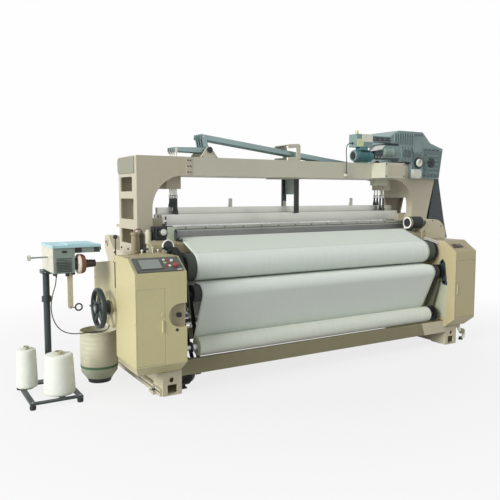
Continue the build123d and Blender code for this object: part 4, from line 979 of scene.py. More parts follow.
# %% Notch, service plates and screws of the cabinets
notch = (-1.563, 0.656)
trim = Piece("cabinet_trim")
lip = ((0.0905, door_face), (0.086, door_face), (0.086, -0.88), (0.0905, -0.88))
trim.rings([[Vector((notch[0] + radius * cos(t), y, notch[1] + radius * sin(t))) for radius, y in lip]
            for t in [radians(90 + 180 * i / 32) for i in range(33)]], plate_paint)
trim.block((-1.618, -0.86, 0.575), (-1.51, -0.8583, 0.737), plate_paint)
trim.turned((notch[0], -0.8605, notch[1]), -along_y,
            [(0, 0.04), (0.003, 0.04), (0.0045, 0.036), (0.0045, 0.022)], plate_paint, 40)
trim.block((notch[0] - 0.016, -0.888, notch[1] - 0.016),
           (notch[0] + 0.016, -0.856, notch[1] + 0.016), black_rubber)
trim.turned((notch[0] - 0.025, door_face, notch[1] - 0.108), -along_y,
            [(0, 0.0115), (0.003, 0.0115), (0.003, 0.006)], black_rubber, 24)
spots = ((-1.895, 0.925), (-1.52, 0.925), (-1.52, 0.33), (1.452, 0.94), (1.731, 0.94))
trim.bolts([(x, door_face, z) for x, z in spots], -along_y, 0.005, cabinet_paint)
for y, z in ((-0.86, 0.34), (-0.86, 0.62), (-0.86, 0.9), (-0.48, 0.34), (-0.48, 0.66), (-0.48, 1.03)):
    trim.bolt((left_wall, y, z), -along_x, 0.0055, cabinet_paint)
    trim.bolt((right_wall, y, z), along_x, 0.0055, cabinet_paint)
trim.done("frame", "cabinet_paint", 0.0004)

# %% [markdown]
# The panel leans back on the cabinet's slope. It is easiest to build in its own flat
# coordinates, across and up the slope, and to turn each point onto the slope at the end.

# %% Panel, latch and stop button
slope = atan2(0.103, 0.151)
panel_corner = Vector((0, -0.895, 0.982))
panel_up = Vector((0, cos(slope), sin(slope)))
panel_out = Vector((0, -sin(slope), cos(slope)))


def on_panel(piece, x, up, out, finish):
    """A block between limits across, up and out of the panel."""
    ring = [(x[0], up[0]), (x[1], up[0]), (x[1], up[1]), (x[0], up[1])]
    layers = [[panel_corner + Vector((px, 0, 0)) + panel_up * pu + panel_out * depth for px, pu in ring]
              for depth in out]
    piece.rings(layers, finish)


panel_edge = -1.888
display = Piece("panel_screen_and_keys")
screen = (panel_edge + 0.04, panel_edge + 0.2)
on_panel(display, screen, (0.041, 0.143), (0.0125, 0.0138), screen_glass)
outer = (screen[0] - 0.008, screen[1] + 0.008)
for x, up in ((outer, (0.035, 0.041)), (outer, (0.143, 0.149)), ((outer[0], screen[0]), (0.041, 0.143)),
              ((screen[1], outer[1]), (0.041, 0.143))):
    on_panel(display, x, up, (0.012, 0.015), panel_plastic)
key_colours = (red_plastic, pale_plastic, green_plastic, red_plastic, pale_plastic, red_plastic)
for i, colour in enumerate(key_colours):
    x = panel_edge + 0.232 + 0.027 * (i % 2)
    up = 0.058 + 0.034 * (i // 2)
    on_panel(display, (x, x + 0.018), (up, up + 0.018), (0.0085, 0.0125), colour)
on_panel(display, (panel_edge + 0.314, panel_edge + 0.356), (0.016, 0.026), (0.0085, 0.0098), pale_plastic)
for x in (panel_edge + 0.01, panel_edge + 0.354):
    for up in (0.022, 0.16):
        spot = panel_corner + Vector((x, 0, 0)) + panel_up * up + panel_out * 0.0088
        display.bolt(spot, panel_out, 0.0038, dark_steel)
display.done("frame", "panel", 0.0008)

latch = Piece("top_latch")
latch_paint = paint("latch paint", (112, 90, 74), worn_steel, 0.5)
on_panel(latch, (1.468, 1.61), (0.066, 0.118), (0.0004, 0.004), latch_paint)
on_panel(latch, (1.474, 1.604), (0.064, 0.084), (0.0035, 0.011), hub_enamel)
on_panel(latch, (1.498, 1.53), (0.08, 0.112), (0.0035, 0.013), hub_enamel)
latch.done("frame", "dark_paint", 0.0008)

stop = Piece("stop_button_cap")
stop_low, stop_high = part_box("emergency_button")
stop_middle = (stop_low + stop_high) / 2
stop.turned(stop_middle + panel_out * 0.0005, panel_out,
            [(0, 0.0202), (0.006, 0.0206), (0.01, 0.019), (0.0125, 0.014),
             (0.0135, 0.004)], red_plastic, 40)
stop.done("emergency_button", "red_button")
print("panel on a slope of", round(slope * 180 / pi, 1), "degrees")

# %% [markdown]
# The dobby reads the pattern and lifts the frames. Its housing is a heap of covers, flanges
# and ribs, so on top of the plain body come plates with rows of bolts, cooling ribs, louvres
# and a lid with folded seams.


# %% Covers of the dobby
cover_shade = paint("dobby cover paint", (96, 114, 114), worn_steel, 0.4, 0.5)
dobby = Piece("dobby_covers")
dobby_face, dobby_back = -0.2905, 0.1695
dobby.front([(1.42, 1.99), (1.548, 1.99), (1.562, 2.07), (1.52, 2.13), (1.42, 2.14)],
            dobby_face, -0.01, dobby_paint)
dobby.front([(1.6, 1.745), (1.832, 1.745), (1.868, 2.02), (1.8, 2.05), (1.6, 2.05)],
            dobby_face, -0.008, cover_shade)
dobby.front([(1.25, 1.915), (1.408, 1.915), (1.408, 2.06), (1.25, 2.06)], dobby_face, -0.012, dobby_paint)
bolted = ((0.008, 1.612, 1.758, 1.822, 1.758, 5, 0.007), (0.008, 1.612, 2.036, 1.79, 2.036, 4, 0.007),
          (0.008, 1.612, 1.82, 1.612, 1.98, 3, 0.007), (0.012, 1.264, 1.929, 1.394, 1.929, 4, 0.006),
          (0.012, 1.264, 2.046, 1.394, 2.046, 4, 0.006), (0.01, 1.434, 2.003, 1.538, 2.003, 3, 0.006))
for proud, x, z, end_x, end_z, count, size in bolted:
    dobby.bolt_row((x, dobby_face - proud, z), (end_x, dobby_face - proud, end_z), count,
                   -along_y, size, dark_steel)
for i in range(9):
    x = 1.15 + 0.034 * i
    dobby.block((x, dobby_face - 0.014, 2.094), (x + 0.01, dobby_face + 0.002, 2.196), dobby_paint)
for i in range(7):
    x = 1.268 + 0.02 * i
    dobby.block((x, dobby_face - 0.02, 1.944), (x + 0.007, dobby_face - 0.011, 2.03), cover_shade)
for i in range(5):
    z = 1.784 + 0.046 * i
    dobby.block((1.65, dobby_face - 0.015, z), (1.8, dobby_face - 0.007, z + 0.01), dobby_paint)
dobby.front([(1.462, 1.752), (1.52, 1.82), (1.572, 1.876), (1.59, 1.96), (1.56, 1.985), (1.44, 1.985),
             (1.43, 1.84)], dobby_face, -0.006, cover_shade)
dobby.turned((1.51, -0.2955, 1.893), -along_y, [(0, 0.06), (0.01, 0.06), (0.014, 0.055)], dark_steel, 40)
dobby.turned((1.7, dobby_face - 0.007, 1.9), -along_y,
             [(0, 0.05), (0.012, 0.05), (0.016, 0.044), (0.016, 0.018), (0.024, 0.016)], dark_steel, 36)

# Folded lid seams, lifting eyes and louvres on the top
for x in (1.235, 1.33, 1.425, 1.52):
    dobby.block((x, -0.286, 2.2212), (x + 0.014, 0.166, 2.222), cover_shade)
dobby.block((1.225, -0.2955, 2.18), (1.57, -0.2895, 2.2), cover_shade)
for y in (-0.2, 0.08):
    ring = [(1.7 + 0.024 * cos(radians(t)), y, 2.1 + 0.024 * sin(radians(t))) for t in range(-20, 201, 20)]
    dobby.pipe(ring, 0.006, dark_steel, 10)
for i in range(10):
    y = -0.225 + 0.038 * i
    dobby.block((1.8485, y, 1.79), (1.856, y + 0.012, 1.96), cover_shade,
                Matrix.Rotation(radians(-9), 3, "Y"))
# Back: a cover with a deep rim
dobby.front([(1.45, 1.76), (1.82, 1.76), (1.85, 2.02), (1.64, 2.11), (1.45, 2.11)],
            dobby_back, 0.012, cover_shade)
dobby.bolt_row((1.466, 0.1815, 1.776), (1.806, 0.1815, 1.776), 6, along_y, 0.008, dark_steel)
dobby.bolt_row((1.466, 0.1815, 2.094), (1.63, 0.1815, 2.094), 3, along_y, 0.008, dark_steel)
for i in range(8):
    dobby.block((1.5, 0.181, 1.81 + 0.028 * i), (1.78, 0.186, 1.822 + 0.028 * i), dobby_paint)
dobby.done("frame", "dobby_paint", 0.0012)

# %% [markdown]
# Left of the housing hangs its drive: a small motor with cooling fins, a gear head, a pale
# junction cover and a signal lamp. Fins are thin rings, so the motor is one turned profile
# that steps in and out.

# %% Drive of the dobby
gear_head = paint("gear head paint", (128, 148, 140), worn_steel, 0.4, 0.5)
drive = Piece("dobby_drive_details")
drive_end = (0.652, -0.236, 1.945)
fins = [(0, 0.048), (0.004, 0.0555)]
for i in range(14):
    fins += [(0.016 + 0.013 * i, 0.0555), (0.0165 + 0.013 * i, 0.061), (0.0205 + 0.013 * i, 0.061),
             (0.021 + 0.013 * i, 0.0555)]
fins += [(0.222, 0.0555), (0.228, 0.05)]
drive.turned(drive_end, along_x, fins, teal_paint, 48)
drive.turned(drive_end, -along_x, [(-0.001, 0.04), (0.004, 0.04), (0.006, 0.034)], dark_steel, 32)
drive.block((0.7, -0.3, 2.0), (0.79, -0.215, 2.036), teal_paint)
drive.block((0.893, -0.2925, 1.925), (1.0, -0.215, 2.01), dark_paint)
drive.bolt_row((0.905, -0.2925, 1.937), (0.988, -0.2925, 1.937), 3, -along_y, 0.006, turned_steel)
drive.front([(0.838, 1.992), (0.985, 2.018), (1.03, 2.062), (0.905, 2.05)], -0.294, 0.06, white_plastic)
drive.block((0.655, -0.2935, 2.034), (0.738, -0.262, 2.112), lamp_plastic)
drive.block((0.722, -0.2945, 2.084), (0.858, -0.2, 2.1615), pale_plastic)
drive.turned((0.69, -0.24, 2.158), upward,
             [(0, 0.022), (0.008, 0.022), (0.01, 0.018), (0.034, 0.018), (0.04, 0.01)], lamp_plastic, 24)
drive.block((0.87, -0.293, 2.1), (1.105, -0.289, 2.142), dark_paint)
drive.bolt_row((0.885, -0.2935, 2.121), (1.09, -0.2935, 2.121), 4, -along_y, 0.005, turned_steel)
drive.block((0.979, -0.2935, 1.9205), (1.228, -0.2885, 1.934), dark_paint)
drive.turned((1.012, -0.27, 1.992), along_x,
             [(0, 0.03), (0.004, 0.044), (0.014, 0.05), (0.11, 0.05), (0.114, 0.054), (0.126, 0.054),
              (0.13, 0.04), (0.16, 0.038), (0.166, 0.024)], gear_head, 44)
drive.block((1.4105, -0.333, 1.7275), (1.5235, -0.289, 1.8215), pale_plastic)
drive.bolt_row((1.422, -0.3332, 1.738), (1.512, -0.3332, 1.738), 2, -along_y, 0.0045, dark_steel)
drive.bolt_row((1.422, -0.3332, 1.811), (1.512, -0.3332, 1.811), 2, -along_y, 0.0045, dark_steel)
drive.turned((0.54, -0.27, 1.7615), upward,
             [(0, 0.0095), (0.006, 0.0095), (0.01, 0.0075), (0.022, 0.006)], black_rubber, 20)
drive.turned((0.6515, -0.23, 2.07), -along_x,
             [(0, 0.0115), (0.008, 0.0115), (0.012, 0.0075), (0.028, 0.0055)], black_rubber, 20)
drive.done("frame", "dobby_paint", 0.0008)

knob = Piece("dobby_knob_round")
knob.turned((1.51, -0.2895, 1.893), -along_y,
            [(-0.028, 0.009), (0.0005, 0.009), (0.001, 0.04), (0.004, 0.043), (0.024, 0.043),
             (0.03, 0.0395), (0.033, 0.034), (0.033, 0.02), (0.03, 0.018), (0.03, 0.006)], pale_plastic, 56)
knob.block((1.5075, -0.3244, 1.893), (1.5125, -0.321, 1.93), dark_steel)
knob.done("dobby_knob", "pale_plastic", 0.0006, ["dobby_knob"])

# %% [markdown]
# The guard over the drive chain is a folded box. Ribs pressed into its front keep the big
# face from drumming, and it is screwed to the post along both edges.

# %% Chain guard and gantry fittings
gantry_face, gantry_back = -0.2498, 0.1998
guard = Piece("chain_guard_ribs")
for share in (0.16, 0.32, 0.48, 0.64, 0.8):
    z = 1.727 - 0.64 * share
    left_x = 1.736 + 0.079 * max(0.0, min(1.0, (z - 1.25) / 0.43))
    right_x = 1.884 + 0.106 * min(1.0, (1.68 - z) / 0.43) + 0.058 * max(0.0, (1.25 - z) / 0.185)
    guard.block((left_x + 0.02, -0.2535, z - 0.005), (right_x - 0.03, -0.249, z + 0.005), dark_paint)
    guard.bolt((left_x + 0.012, gantry_face, z + 0.04), -along_y, 0.006, dark_steel)
    guard.bolt((right_x - 0.018, gantry_face, z + 0.04), -along_y, 0.006, dark_steel)
guard.done("frame", "dark_paint", 0.0008)

fittings = Piece("gantry_fittings")
for x in (-1.19, -1.165, 1.125, 1.15):
    for z in (1.745, 1.795, 1.845):
        fittings.bolt((x, gantry_face, z), -along_y, 0.0085, dark_steel)
        fittings.bolt((x, gantry_back, z), along_y, 0.0085, dark_steel)
fittings.block((-1.2035, -0.2535, 1.722), (-1.152, -0.249, 1.868), gantry_paint)
fittings.block((1.112, -0.2535, 1.722), (1.163, -0.249, 1.868), gantry_paint)
for x in (0.905, 1.145):
    for z in (1.738, 1.858):
        fittings.bolt((x, -0.4498, z), -along_y, 0.007, dark_steel)
fittings.block((0.912, -0.4535, 1.748), (1.138, -0.449, 1.85), gantry_paint)
low_bolts = (-1.635, -1.535, 1.47, 1.64, 1.77)
fittings.bolts([(x, gantry_face, 1.075) for x in low_bolts], -along_y, 0.01, dark_steel)
fittings.bolts([(-1.6498, y, 1.09) for y in (-0.205, -0.02, 0.15)], -along_x, 0.01, dark_steel)
for y in (-0.166, -0.152, 0.06, 0.074):
    for x in (-1.01, -0.87):
        fittings.turned((x, y, 1.8745), upward, [(0, 0.01), (0.008, 0.01), (0.01, 0.007)], dark_steel, 6)
# The middle guide: dark wear strips on both bars and a pale plate between them
strips = ((-0.0012, 0.0412, -0.1562, -0.1549, 1.374), (-0.0012, 0.0002, -0.1562, -0.1282, 1.374),
          (0.0398, 0.0412, -0.1562, -0.1282, 1.374), (-0.0212, -0.0198, 0.0332, 0.0602, 1.42),
          (-0.0212, 0.0212, 0.0325, 0.0332, 1.49))
for low_x, high_x, low_y, high_y, foot_z in strips:
    fittings.block((low_x, low_y, foot_z), (high_x, high_y, 1.704), motor_paint)
fittings.block((0.0042, -0.1282, 1.556), (0.0062, 0.0325, 1.704), feeder_paint)
fittings.bolt_row((-0.17, -0.1695, 1.709), (0.05, -0.1695, 1.709), 4, -along_y, 0.0055, turned_steel)
spots = ((0.025, 1.895), (0.025, 2.02), (-0.07, 1.892), (-0.07, 2.014))
fittings.bolts([(x, -0.1648, z) for x, z in spots], -along_y, 0.006, gantry_paint)
# The girder's left end is closed by a cover that stands a little proud of the post; its darker colour is
# painted shade
end_cover_shade_paint = paint("end cover paint with painted shade", (148, 146, 128), bare_primer, 0.5, 0.3)
fittings.side([(-0.2, 1.732), (-0.2, 1.869), (0.172, 1.869), (0.198, 1.858), (0.206, 1.838),
               (0.206, 1.764), (0.196, 1.742), (0.17, 1.732)], -1.6502, -0.007, end_cover_shade_paint)
for y in (-0.185, 0.16):
    for z in (1.745, 1.855):
        fittings.bolt((-1.657, y, z), -along_x, 0.0045, end_cover_shade_paint)
fittings.done("frame", "gantry_paint", 0.0008)

# %% [markdown]
# The weft feeder winds yarn from the cones onto a drum, so that the jet can take it without
# a jerk. Its drum is a turned shape: a pale ceramic face, a brown rim and a dark hub. It
# replaces the plain solid and turns with it.

# %% Feeder drum
ceramic = moulded("cream ceramic", (232, 222, 200), 0.3)
drum_axis = (-0.31, 1.018)
drum = Piece("feeder_drum_turned")
drum.turned((-2.228, *drum_axis), along_x, [(0, 0.01), (0.038, 0.01)], turned_steel, 24)
drum.turned((-2.1795, *drum_axis), along_x,
            [(0, 0.03), (0, 0.044), (0.004, 0.046), (0.014, 0.046), (0.016, 0.058)], dark_steel, 48)
drum.turned((-2.1655, *drum_axis), along_x,
            [(0, 0.062), (0.001, 0.073), (0.008, 0.0775), (0.02, 0.0775), (0.023, 0.07),
             (0.024, 0.06)], ceramic, 64)
drum.turned((-2.1425, *drum_axis), along_x,
            [(0, 0.06), (0.0005, 0.0745), (0.012, 0.0765), (0.02, 0.0735), (0.033, 0.066),
             (0.036, 0.058)], copper_paint, 64)
drum.turned((-2.107, *drum_axis), along_x,
            [(0, 0.05), (0.004, 0.046), (0.01, 0.034), (0.03, 0.03), (0.06, 0.03), (0.064, 0.026),
             (0.066, 0.026), (0.068, 0.029), (0.08, 0.029), (0.085, 0.022)], hub_enamel, 48)
for angle in circle(12):
    drum.turned(around(-2.165, drum_axis, 0.068, angle), -along_x, [(0, 0.0035), (0.0012, 0.0035)],
                dark_steel, 12)
drum.done("feeder_drum", "copper", 0.0, ["feeder_drum"])

# %% [markdown]
# The feeder's head is a cast box under a light blue lid. Louvres let its motor breathe, a
# knob on the lid's far end sets the brake, and small rubber pads sit below.

# %% Feeder head
head = Piece("feeder_head_details")
head.block((-2.3585, -0.3585, 1.15), (-1.9895, 0.0385, 1.169), blue_cover)
head.block((-2.23, -0.3, 1.1685), (-2.06, -0.04, 1.175), blue_cover)
head.block((-2.34, -0.352, 1.04), (-2.202, -0.3485, 1.14), feeder_paint)
for i in range(9):
    z = 0.968 + 0.0125 * i
    head.block((-2.33, -0.356, z), (-2.215, -0.348, z + 0.005), dark_paint,
               Matrix.Rotation(radians(20), 3, "X"))
head.block((-2.286, -0.356, 1.112), (-2.252, -0.35, 1.129), black_rubber)
# A pale plate on the box's left face is a painted highlight where the light falls on that side
head.block((-2.3545, -0.35, 0.962), (-2.3485, 0.03, 1.149), oil_cup_and_highlight)
for x in (-2.34, -2.202):
    for y in (-0.335, 0.015):
        head.turned((x, y, 0.956), -upward, [(0, 0.016), (0.012, 0.014), (0.016, 0.01)], black_rubber, 20)
head.turned((-2.25, -0.344, 0.956), -upward, [(0, 0.014), (0.02, 0.014), (0.024, 0.01)], black_rubber, 20)
head.turned((-1.9965, -0.3, 1.135), along_x,
            [(0, 0.0165), (0.002, 0.0185), (0.017, 0.0185), (0.0205, 0.015),
             (0.0213, 0.008)], dark_paint, 28)
head.block((-2.042, -0.3525, 1.109), (-2.001, -0.2, 1.15), dark_paint)
head.block((-2.189, -0.3535, 1.108), (-2.138, -0.3495, 1.15), black_rubber)
head.turned((-2.322, -0.3, 0.9555), -upward, [(0, 0.011), (0.01, 0.011), (0.016, 0.007), (0.034, 0.0052)],
            black_rubber, 20)
head.turned((-2.335, -0.2, 1.072), -along_x,
            [(0.01, 0.02), (0.02, 0.02), (0.023, 0.012), (0.023, 0.0065)], pale_plastic, 28)
head.turned((-2.488, -0.2, 1.072), -along_x,
            [(0, 0.0205), (0.006, 0.0225), (0.014, 0.0225), (0.0195, 0.015), (0.0195, 0.008)],
            pale_plastic, 32)
for x, y in ((-2.345, -0.345), (-2.205, -0.345), (-2.345, 0.025)):
    head.bolt((x, y, 1.1688), upward, 0.0045, turned_steel)
head.block((-2.245, -0.3276, 0.684), (-2.205, -0.3124, 0.95), casting_paint)
head.turned((-2.225, -0.32, 0.676), upward, [(0, 0.007), (0.002, 0.009), (0.018, 0.009), (0.02, 0.007)],
            feeder_paint, 20)
head.done("frame", "feeder_paint", 0.0012)

liner = Piece("eyelet_liner")
liner.hoop((-2.163, -0.32, 0.683), along_y, 0.0258, 0.006, 0.0085, dark_steel, 40, 14)
liner.done("frame", "dark_paint")

stand = Piece("feeder_stand_details")
post_x = -2.345
for x in (-2.565, -2.223):
    for y in (-0.526, 0.0):
        stand.turned((x, y, 0), upward,
                     [(0.0002, 0.021), (0.01, 0.023), (0.02, 0.0235), (0.03, 0.021)], black_rubber, 28)
        stand.bolt((x, y, 0.0498), upward, 0.008, turned_steel)
stand.turned((post_x, -0.045, 0.0495), upward,
             [(0, 0.044), (0.006, 0.044), (0.01, 0.041), (0.026, 0.0405), (0.031, 0.032)], dark_paint, 36)
for z in (0.712, 0.732):
    stand.bolt((post_x, -0.0825, z), -along_y, 0.006, turned_steel)
stand.rod((post_x, -0.08, 0.722), (post_x, -0.102, 0.722), 0.009, dark_steel, 18)
stand.block((-2.355, -0.1075, 0.7), (-2.335, -0.101, 0.744), black_rubber)
stand.block((-2.374, -0.101, 0.9275), (-2.264, -0.088, 0.954), dark_paint)
stand.bolt_row((-2.362, -0.101, 0.941), (-2.276, -0.101, 0.941), 3, -along_y, 0.006, turned_steel)
stand.done("frame", "dark_paint", 0.0008)

# %% [markdown]
# A cone of yarn is cross-wound: the thread climbs in a steep screw one way and comes back
# the other, and the crossings make a lattice of fine diamonds. Two slanted wave patterns,
# laid out by angle and height, give that lattice; the body is turned with soft shoulders.


# %% Cross-wound yarn
def cross_wound(name, colour, middle):
    """Yarn around an upright axis through middle."""
    yarn = Finish(name, swatch(*colour), 0.9)
    yarn.shader.inputs["Sheen Weight"].default_value = 0.35
    shade = darker(yarn.colour, 0.72)
    where = yarn.add("TexCoord").outputs["Object"]
    local = yarn.add("VectorMath", [(0, where), (1, middle)], operation="SUBTRACT").outputs["Vector"]
    parts = yarn.add("SeparateXYZ", [(0, local)]).outputs
    angle = yarn.math("ARCTAN2", parts["Y"], parts["X"])
    waves = []
    for way in (1.0, -1.0):
        slant = yarn.math("ADD", yarn.times(angle, 40.0 * way), yarn.times(parts["Z"], 900.0))
        waves.append(yarn.math("SINE", slant))
    lattice = yarn.math("MAXIMUM", *waves)
    yarn.tint(yarn.mask(lattice, 0.6, -0.8), shade, 0.45)
    yarn.tint(yarn.mask(yarn.noise(18.0, 4.0), 0.45, 0.75), shade, 0.2)
    yarn.raise_by(lattice, 0.0006, 0.6)
    return yarn.material


cones = Piece("yarn_cones_wound")
paper_tube = moulded("paper tube", (186, 184, 160), 0.8)
for i, (x, y, radius) in enumerate(((-2.34, -0.381, 0.118), (-2.525, -0.101, 0.082))):
    yarn_finish = cross_wound(f"cone yarn {i + 1}", (240, 243, 230), (x, y, 0.0))
    shape = [(0, radius * 0.55), (0.0005, radius * 0.93), (0.006, radius * 0.985), (0.014, radius)]
    for step in range(1, 24):
        share = step / 24
        shape.append((0.014 + 0.272 * share, radius * (1 - 0.115 * share) + 0.0012 * sin(step * 1.9)))
    shape += [(0.29, radius * 0.875), (0.2965, radius * 0.84), (0.3, radius * 0.76),
              (0.2985, radius * 0.45), (0.296, radius * 0.31)]
    cones.turned((x, y, 0.0502), upward, shape, yarn_finish, 72)
    cones.turned((x, y, 0.344), upward, [(0, radius * 0.285), (0.024, radius * 0.278),
                                         (0.0275, radius * 0.26), (0.0275, radius * 0.215),
                                         (0.01, radius * 0.205)], paper_tube, 40)
cones.done("frame", "yarn", 0.0, ["yarn_cones"])

# %% [markdown]
# The water tub is a moulded vessel with a rolled lip, hoops that stiffen its wall and a
# green band near the foot. One closed profile, down the outside and up the inside, gives
# the wall its thickness.

# %% Water tub
tub_green = moulded("green band", (84, 120, 86), 0.45)
tub_foot = moulded("pale green foot", (182, 188, 162), 0.5)
tub_axis = (-1.94, -0.08)
tub = Piece("water_tub")
wall = [(0.012, 0.0005), (0.012, 0.081), (0.0005, 0.083), (0.0005, 0.0895), (0.004, 0.092), (0.022, 0.095),
        (0.056, 0.121), (0.09, 0.146), (0.098, 0.148), (0.15, 0.1525)]
for height in (0.176, 0.214, 0.252, 0.29, 0.328, 0.366):
    wall += [(height, 0.1532), (height + 0.004, 0.1541), (height + 0.01, 0.1541), (height + 0.014, 0.1532)]
wall += [(0.418, 0.1532), (0.421, 0.1555), (0.432, 0.1555), (0.435, 0.153), (0.435, 0.151), (0.43, 0.1495),
         (0.172, 0.1495), (0.098, 0.1405), (0.034, 0.089), (0.026, 0.0005)]
tub.turned((*tub_axis, 0.0), upward, wall, tub_plastic, 80)
band = [(0.128, 0.15), (0.1285, 0.1535), (0.148, 0.1545), (0.1485, 0.1518)]
skirt = [(0.04, 0.1085), (0.0405, 0.1105), (0.058, 0.124), (0.09, 0.1473), (0.128, 0.152), (0.128, 0.15),
         (0.09, 0.145), (0.056, 0.12)]
foot_ring = [(0.0004, 0.0898), (0.0004, 0.0925), (0.02, 0.0965), (0.038, 0.1105), (0.038, 0.106),
             (0.022, 0.0935)]
for outline, finish in ((band, tub_green), (skirt, tub_foot), (foot_ring, black_rubber)):
    tub.rings([[Vector((tub_axis[0] + r * cos(t), tub_axis[1] + r * sin(t), h)) for h, r in outline]
               for t in circle(72)], finish, closed=True)
tub.done("frame", "vessel", 0.0, ["water_vessel"])
water = Finish("water", swatch(176, 196, 190), 0.06)
water.shader.inputs["Transmission Weight"].default_value = 0.6
water.raise_by(water.noise(12.0), 0.002, 0.3)
surface = Piece("water_in_tub")
surface.turned((*tub_axis, 0.372), upward, [(0, 0.149), (0.0015, 0.1492)], water.material, 72)
surface.done("frame", "vessel")

# %% [markdown]
# The handwheel turns the loom by hand. Its rim is round in section, so a ring of small
# circles sweeps round the axis, and five tapered arms join it to a thick hub.

# %% Handwheel
wheel_axis = (-0.334, 0.66)
wheel = Piece("handwheel_cast")
middle = Vector((-2.01, *wheel_axis))
wheel.hoop(middle, along_x, 0.148, 0.0138, 0.0215, wheel_paint, 72, 16)
arm = ((0.03, 0.026, 0.016), (0.08, 0.019, 0.011), (0.14, 0.017, 0.009))
for angle in circle(5):
    turn = Matrix.Rotation(angle, 3, "X")
    sections = [[Vector((half_depth * sin(a), half_width * cos(a), reach)) for a in circle(14)]
                for reach, half_width, half_depth in arm]
    wheel.rings([[middle + turn @ point for point in section] for section in sections], wheel_paint)
wheel.turned((-2.044, *wheel_axis), along_x,
             [(0, 0.026), (0, 0.036), (0.004, 0.041), (0.028, 0.042), (0.056, 0.042), (0.07, 0.038),
              (0.074, 0.03), (0.074, 0.0255)], wheel_paint, 44)
wheel.turned((-1.9705, *wheel_axis), along_x,
             [(0, 0.034), (0.024, 0.034), (0.0245, 0.026)], motor_paint, 40)
wheel.turned((-2.045, *wheel_axis), along_x,
             [(0, 0.018), (0.0015, 0.0245), (0.01, 0.0245)], turned_steel, 32)
wheel.rod(around(-2.0425, wheel_axis, 0.148, 0), around(-2.01, wheel_axis, 0.148, 0),
          0.008, turned_steel, 20)
wheel.done("main_shaft", "dark_paint", 0.0, ["handwheel"])

# %% [markdown]
# The motor beside the left foot is an ordinary finned one. One turned profile gives the
# barrel and its domed end, thin plates set round it are the ribs, and a small foot holds it.

# %% Motor
motor_axis = (-0.57, 0.125)
motor = Piece("main_motor")
motor.turned((-1.48, *motor_axis), along_x,
             [(0, 0.07), (0.003, 0.092), (0.01, 0.1), (0.034, 0.102), (0.036, 0.104), (0.112, 0.104),
              (0.126, 0.103), (0.14, 0.098), (0.152, 0.087), (0.161, 0.07), (0.167, 0.048), (0.17, 0.03)],
             motor_paint, 56)
middle = Vector((-1.39, *motor_axis))
rib = ((-0.05, 0.098), (0.034, 0.098), (0.022, 0.1148), (-0.05, 0.1148))
for angle in circle(40):
    turn = Matrix.Rotation(angle, 3, "X")
    motor.plate([middle + turn @ Vector((x, -0.0016, z)) for x, z in rib],
                turn @ Vector((0, 0.0032, 0)), motor_paint)
for angle in circle(8):
    motor.turned(around(-1.4795, motor_axis, 0.052, angle), -along_x, [(-0.001, 0.01), (0.0008, 0.01)],
                 black_rubber, 14)
motor.block((-1.468, -0.66, 0.0004), (-1.404, -0.48, 0.012), motor_paint)
motor.block((-1.46, -0.64, 0.011), (-1.41, -0.5, 0.05), motor_paint)
for x in (-1.455, -1.416):
    for y in (-0.65, -0.49):
        motor.bolt((x, y, 0.0118), upward, 0.008, dark_steel)
motor.turned((-1.312, *motor_axis), along_x, [(0, 0.024), (0.003, 0.024), (0.003, 0.0145)], dark_steel, 24)
motor.done("frame", "dark_paint", 0.0008, ["motor"])

# %% [markdown]
# Left of the reed stands the black water pump that shoots the weft, with a bright cap, an oil
# cup, a filter bowl and unions round it. It is the busiest corner of the loom, and nearly
# all of it is turned parts in a row.

# %% Pump, oil cup, filter and unions
pump = Piece("pump_cluster")
olive_bowl = moulded("olive bowl", (154, 142, 112), 0.35)
filter_bowl = moulded("filter bowl", (188, 198, 176), 0.25)
pump.turned((-1.465, -0.3615, 1.244), -along_y,
            [(0, 0.027), (0.004, 0.027), (0.006, 0.022), (0.006, 0.012), (0.012, 0.01)], rail_alloy, 36)
pump.block((-1.532, -0.362, 1.186), (-1.5205, -0.27, 1.29), motor_paint)
pump.block((-1.5205, -0.362, 1.272), (-1.4, -0.34, 1.29), motor_paint)
pump.block((-1.432, -0.364, 1.09), (-1.347, -0.3405, 1.288), filter_bowl)
pump.rod((-1.442, -0.352, 1.286), (-1.442, -0.352, 1.372), 0.008, dark_steel, 18)
pump.turned((-1.442, -0.352, 1.33), upward, [(0, 0.008), (0.002, 0.012), (0.014, 0.012), (0.016, 0.008)],
            rail_alloy, 20)
pump.turned((-1.58, -0.305, 1.087), upward,
            [(0, 0.016), (0.06, 0.016), (0.064, 0.027), (0.16, 0.027), (0.166, 0.018), (0.176, 0.018),
             (0.18, 0.01)], oil_cup_and_highlight, 32)
pump.turned((-1.548, -0.358, 1.0865), upward,
            [(0, 0.03), (0.004, 0.036), (0.066, 0.036), (0.074, 0.028), (0.08, 0.012), (0.092, 0.011)],
            filter_bowl, 36)
pump.turned((-1.694, -0.3, 1.02), upward,
            [(0, 0.03), (0.05, 0.03), (0.056, 0.036), (0.072, 0.036), (0.076, 0.027), (0.2, 0.026),
             (0.206, 0.031), (0.224, 0.031), (0.23, 0.02)], olive_bowl, 36)
pump.turned((-1.634, -0.3, 1.02), upward,
            [(0, 0.014), (0.18, 0.014), (0.184, 0.019), (0.212, 0.019), (0.222, 0.01), (0.24, 0.008)],
            hub_enamel, 28)
pump.pipe([(-1.694, -0.3, 1.246), (-1.694, -0.303, 1.262), (-1.68, -0.306, 1.272), (-1.652, -0.304, 1.274),
           (-1.636, -0.301, 1.268), (-1.634, -0.3, 1.25)], 0.0045, copper_paint)
pump.turned((-1.366, -0.312, 1.262), along_x,
            [(0, 0.01), (0.012, 0.009), (0.014, 0.006), (0.034, 0.0035)], brass, 20)
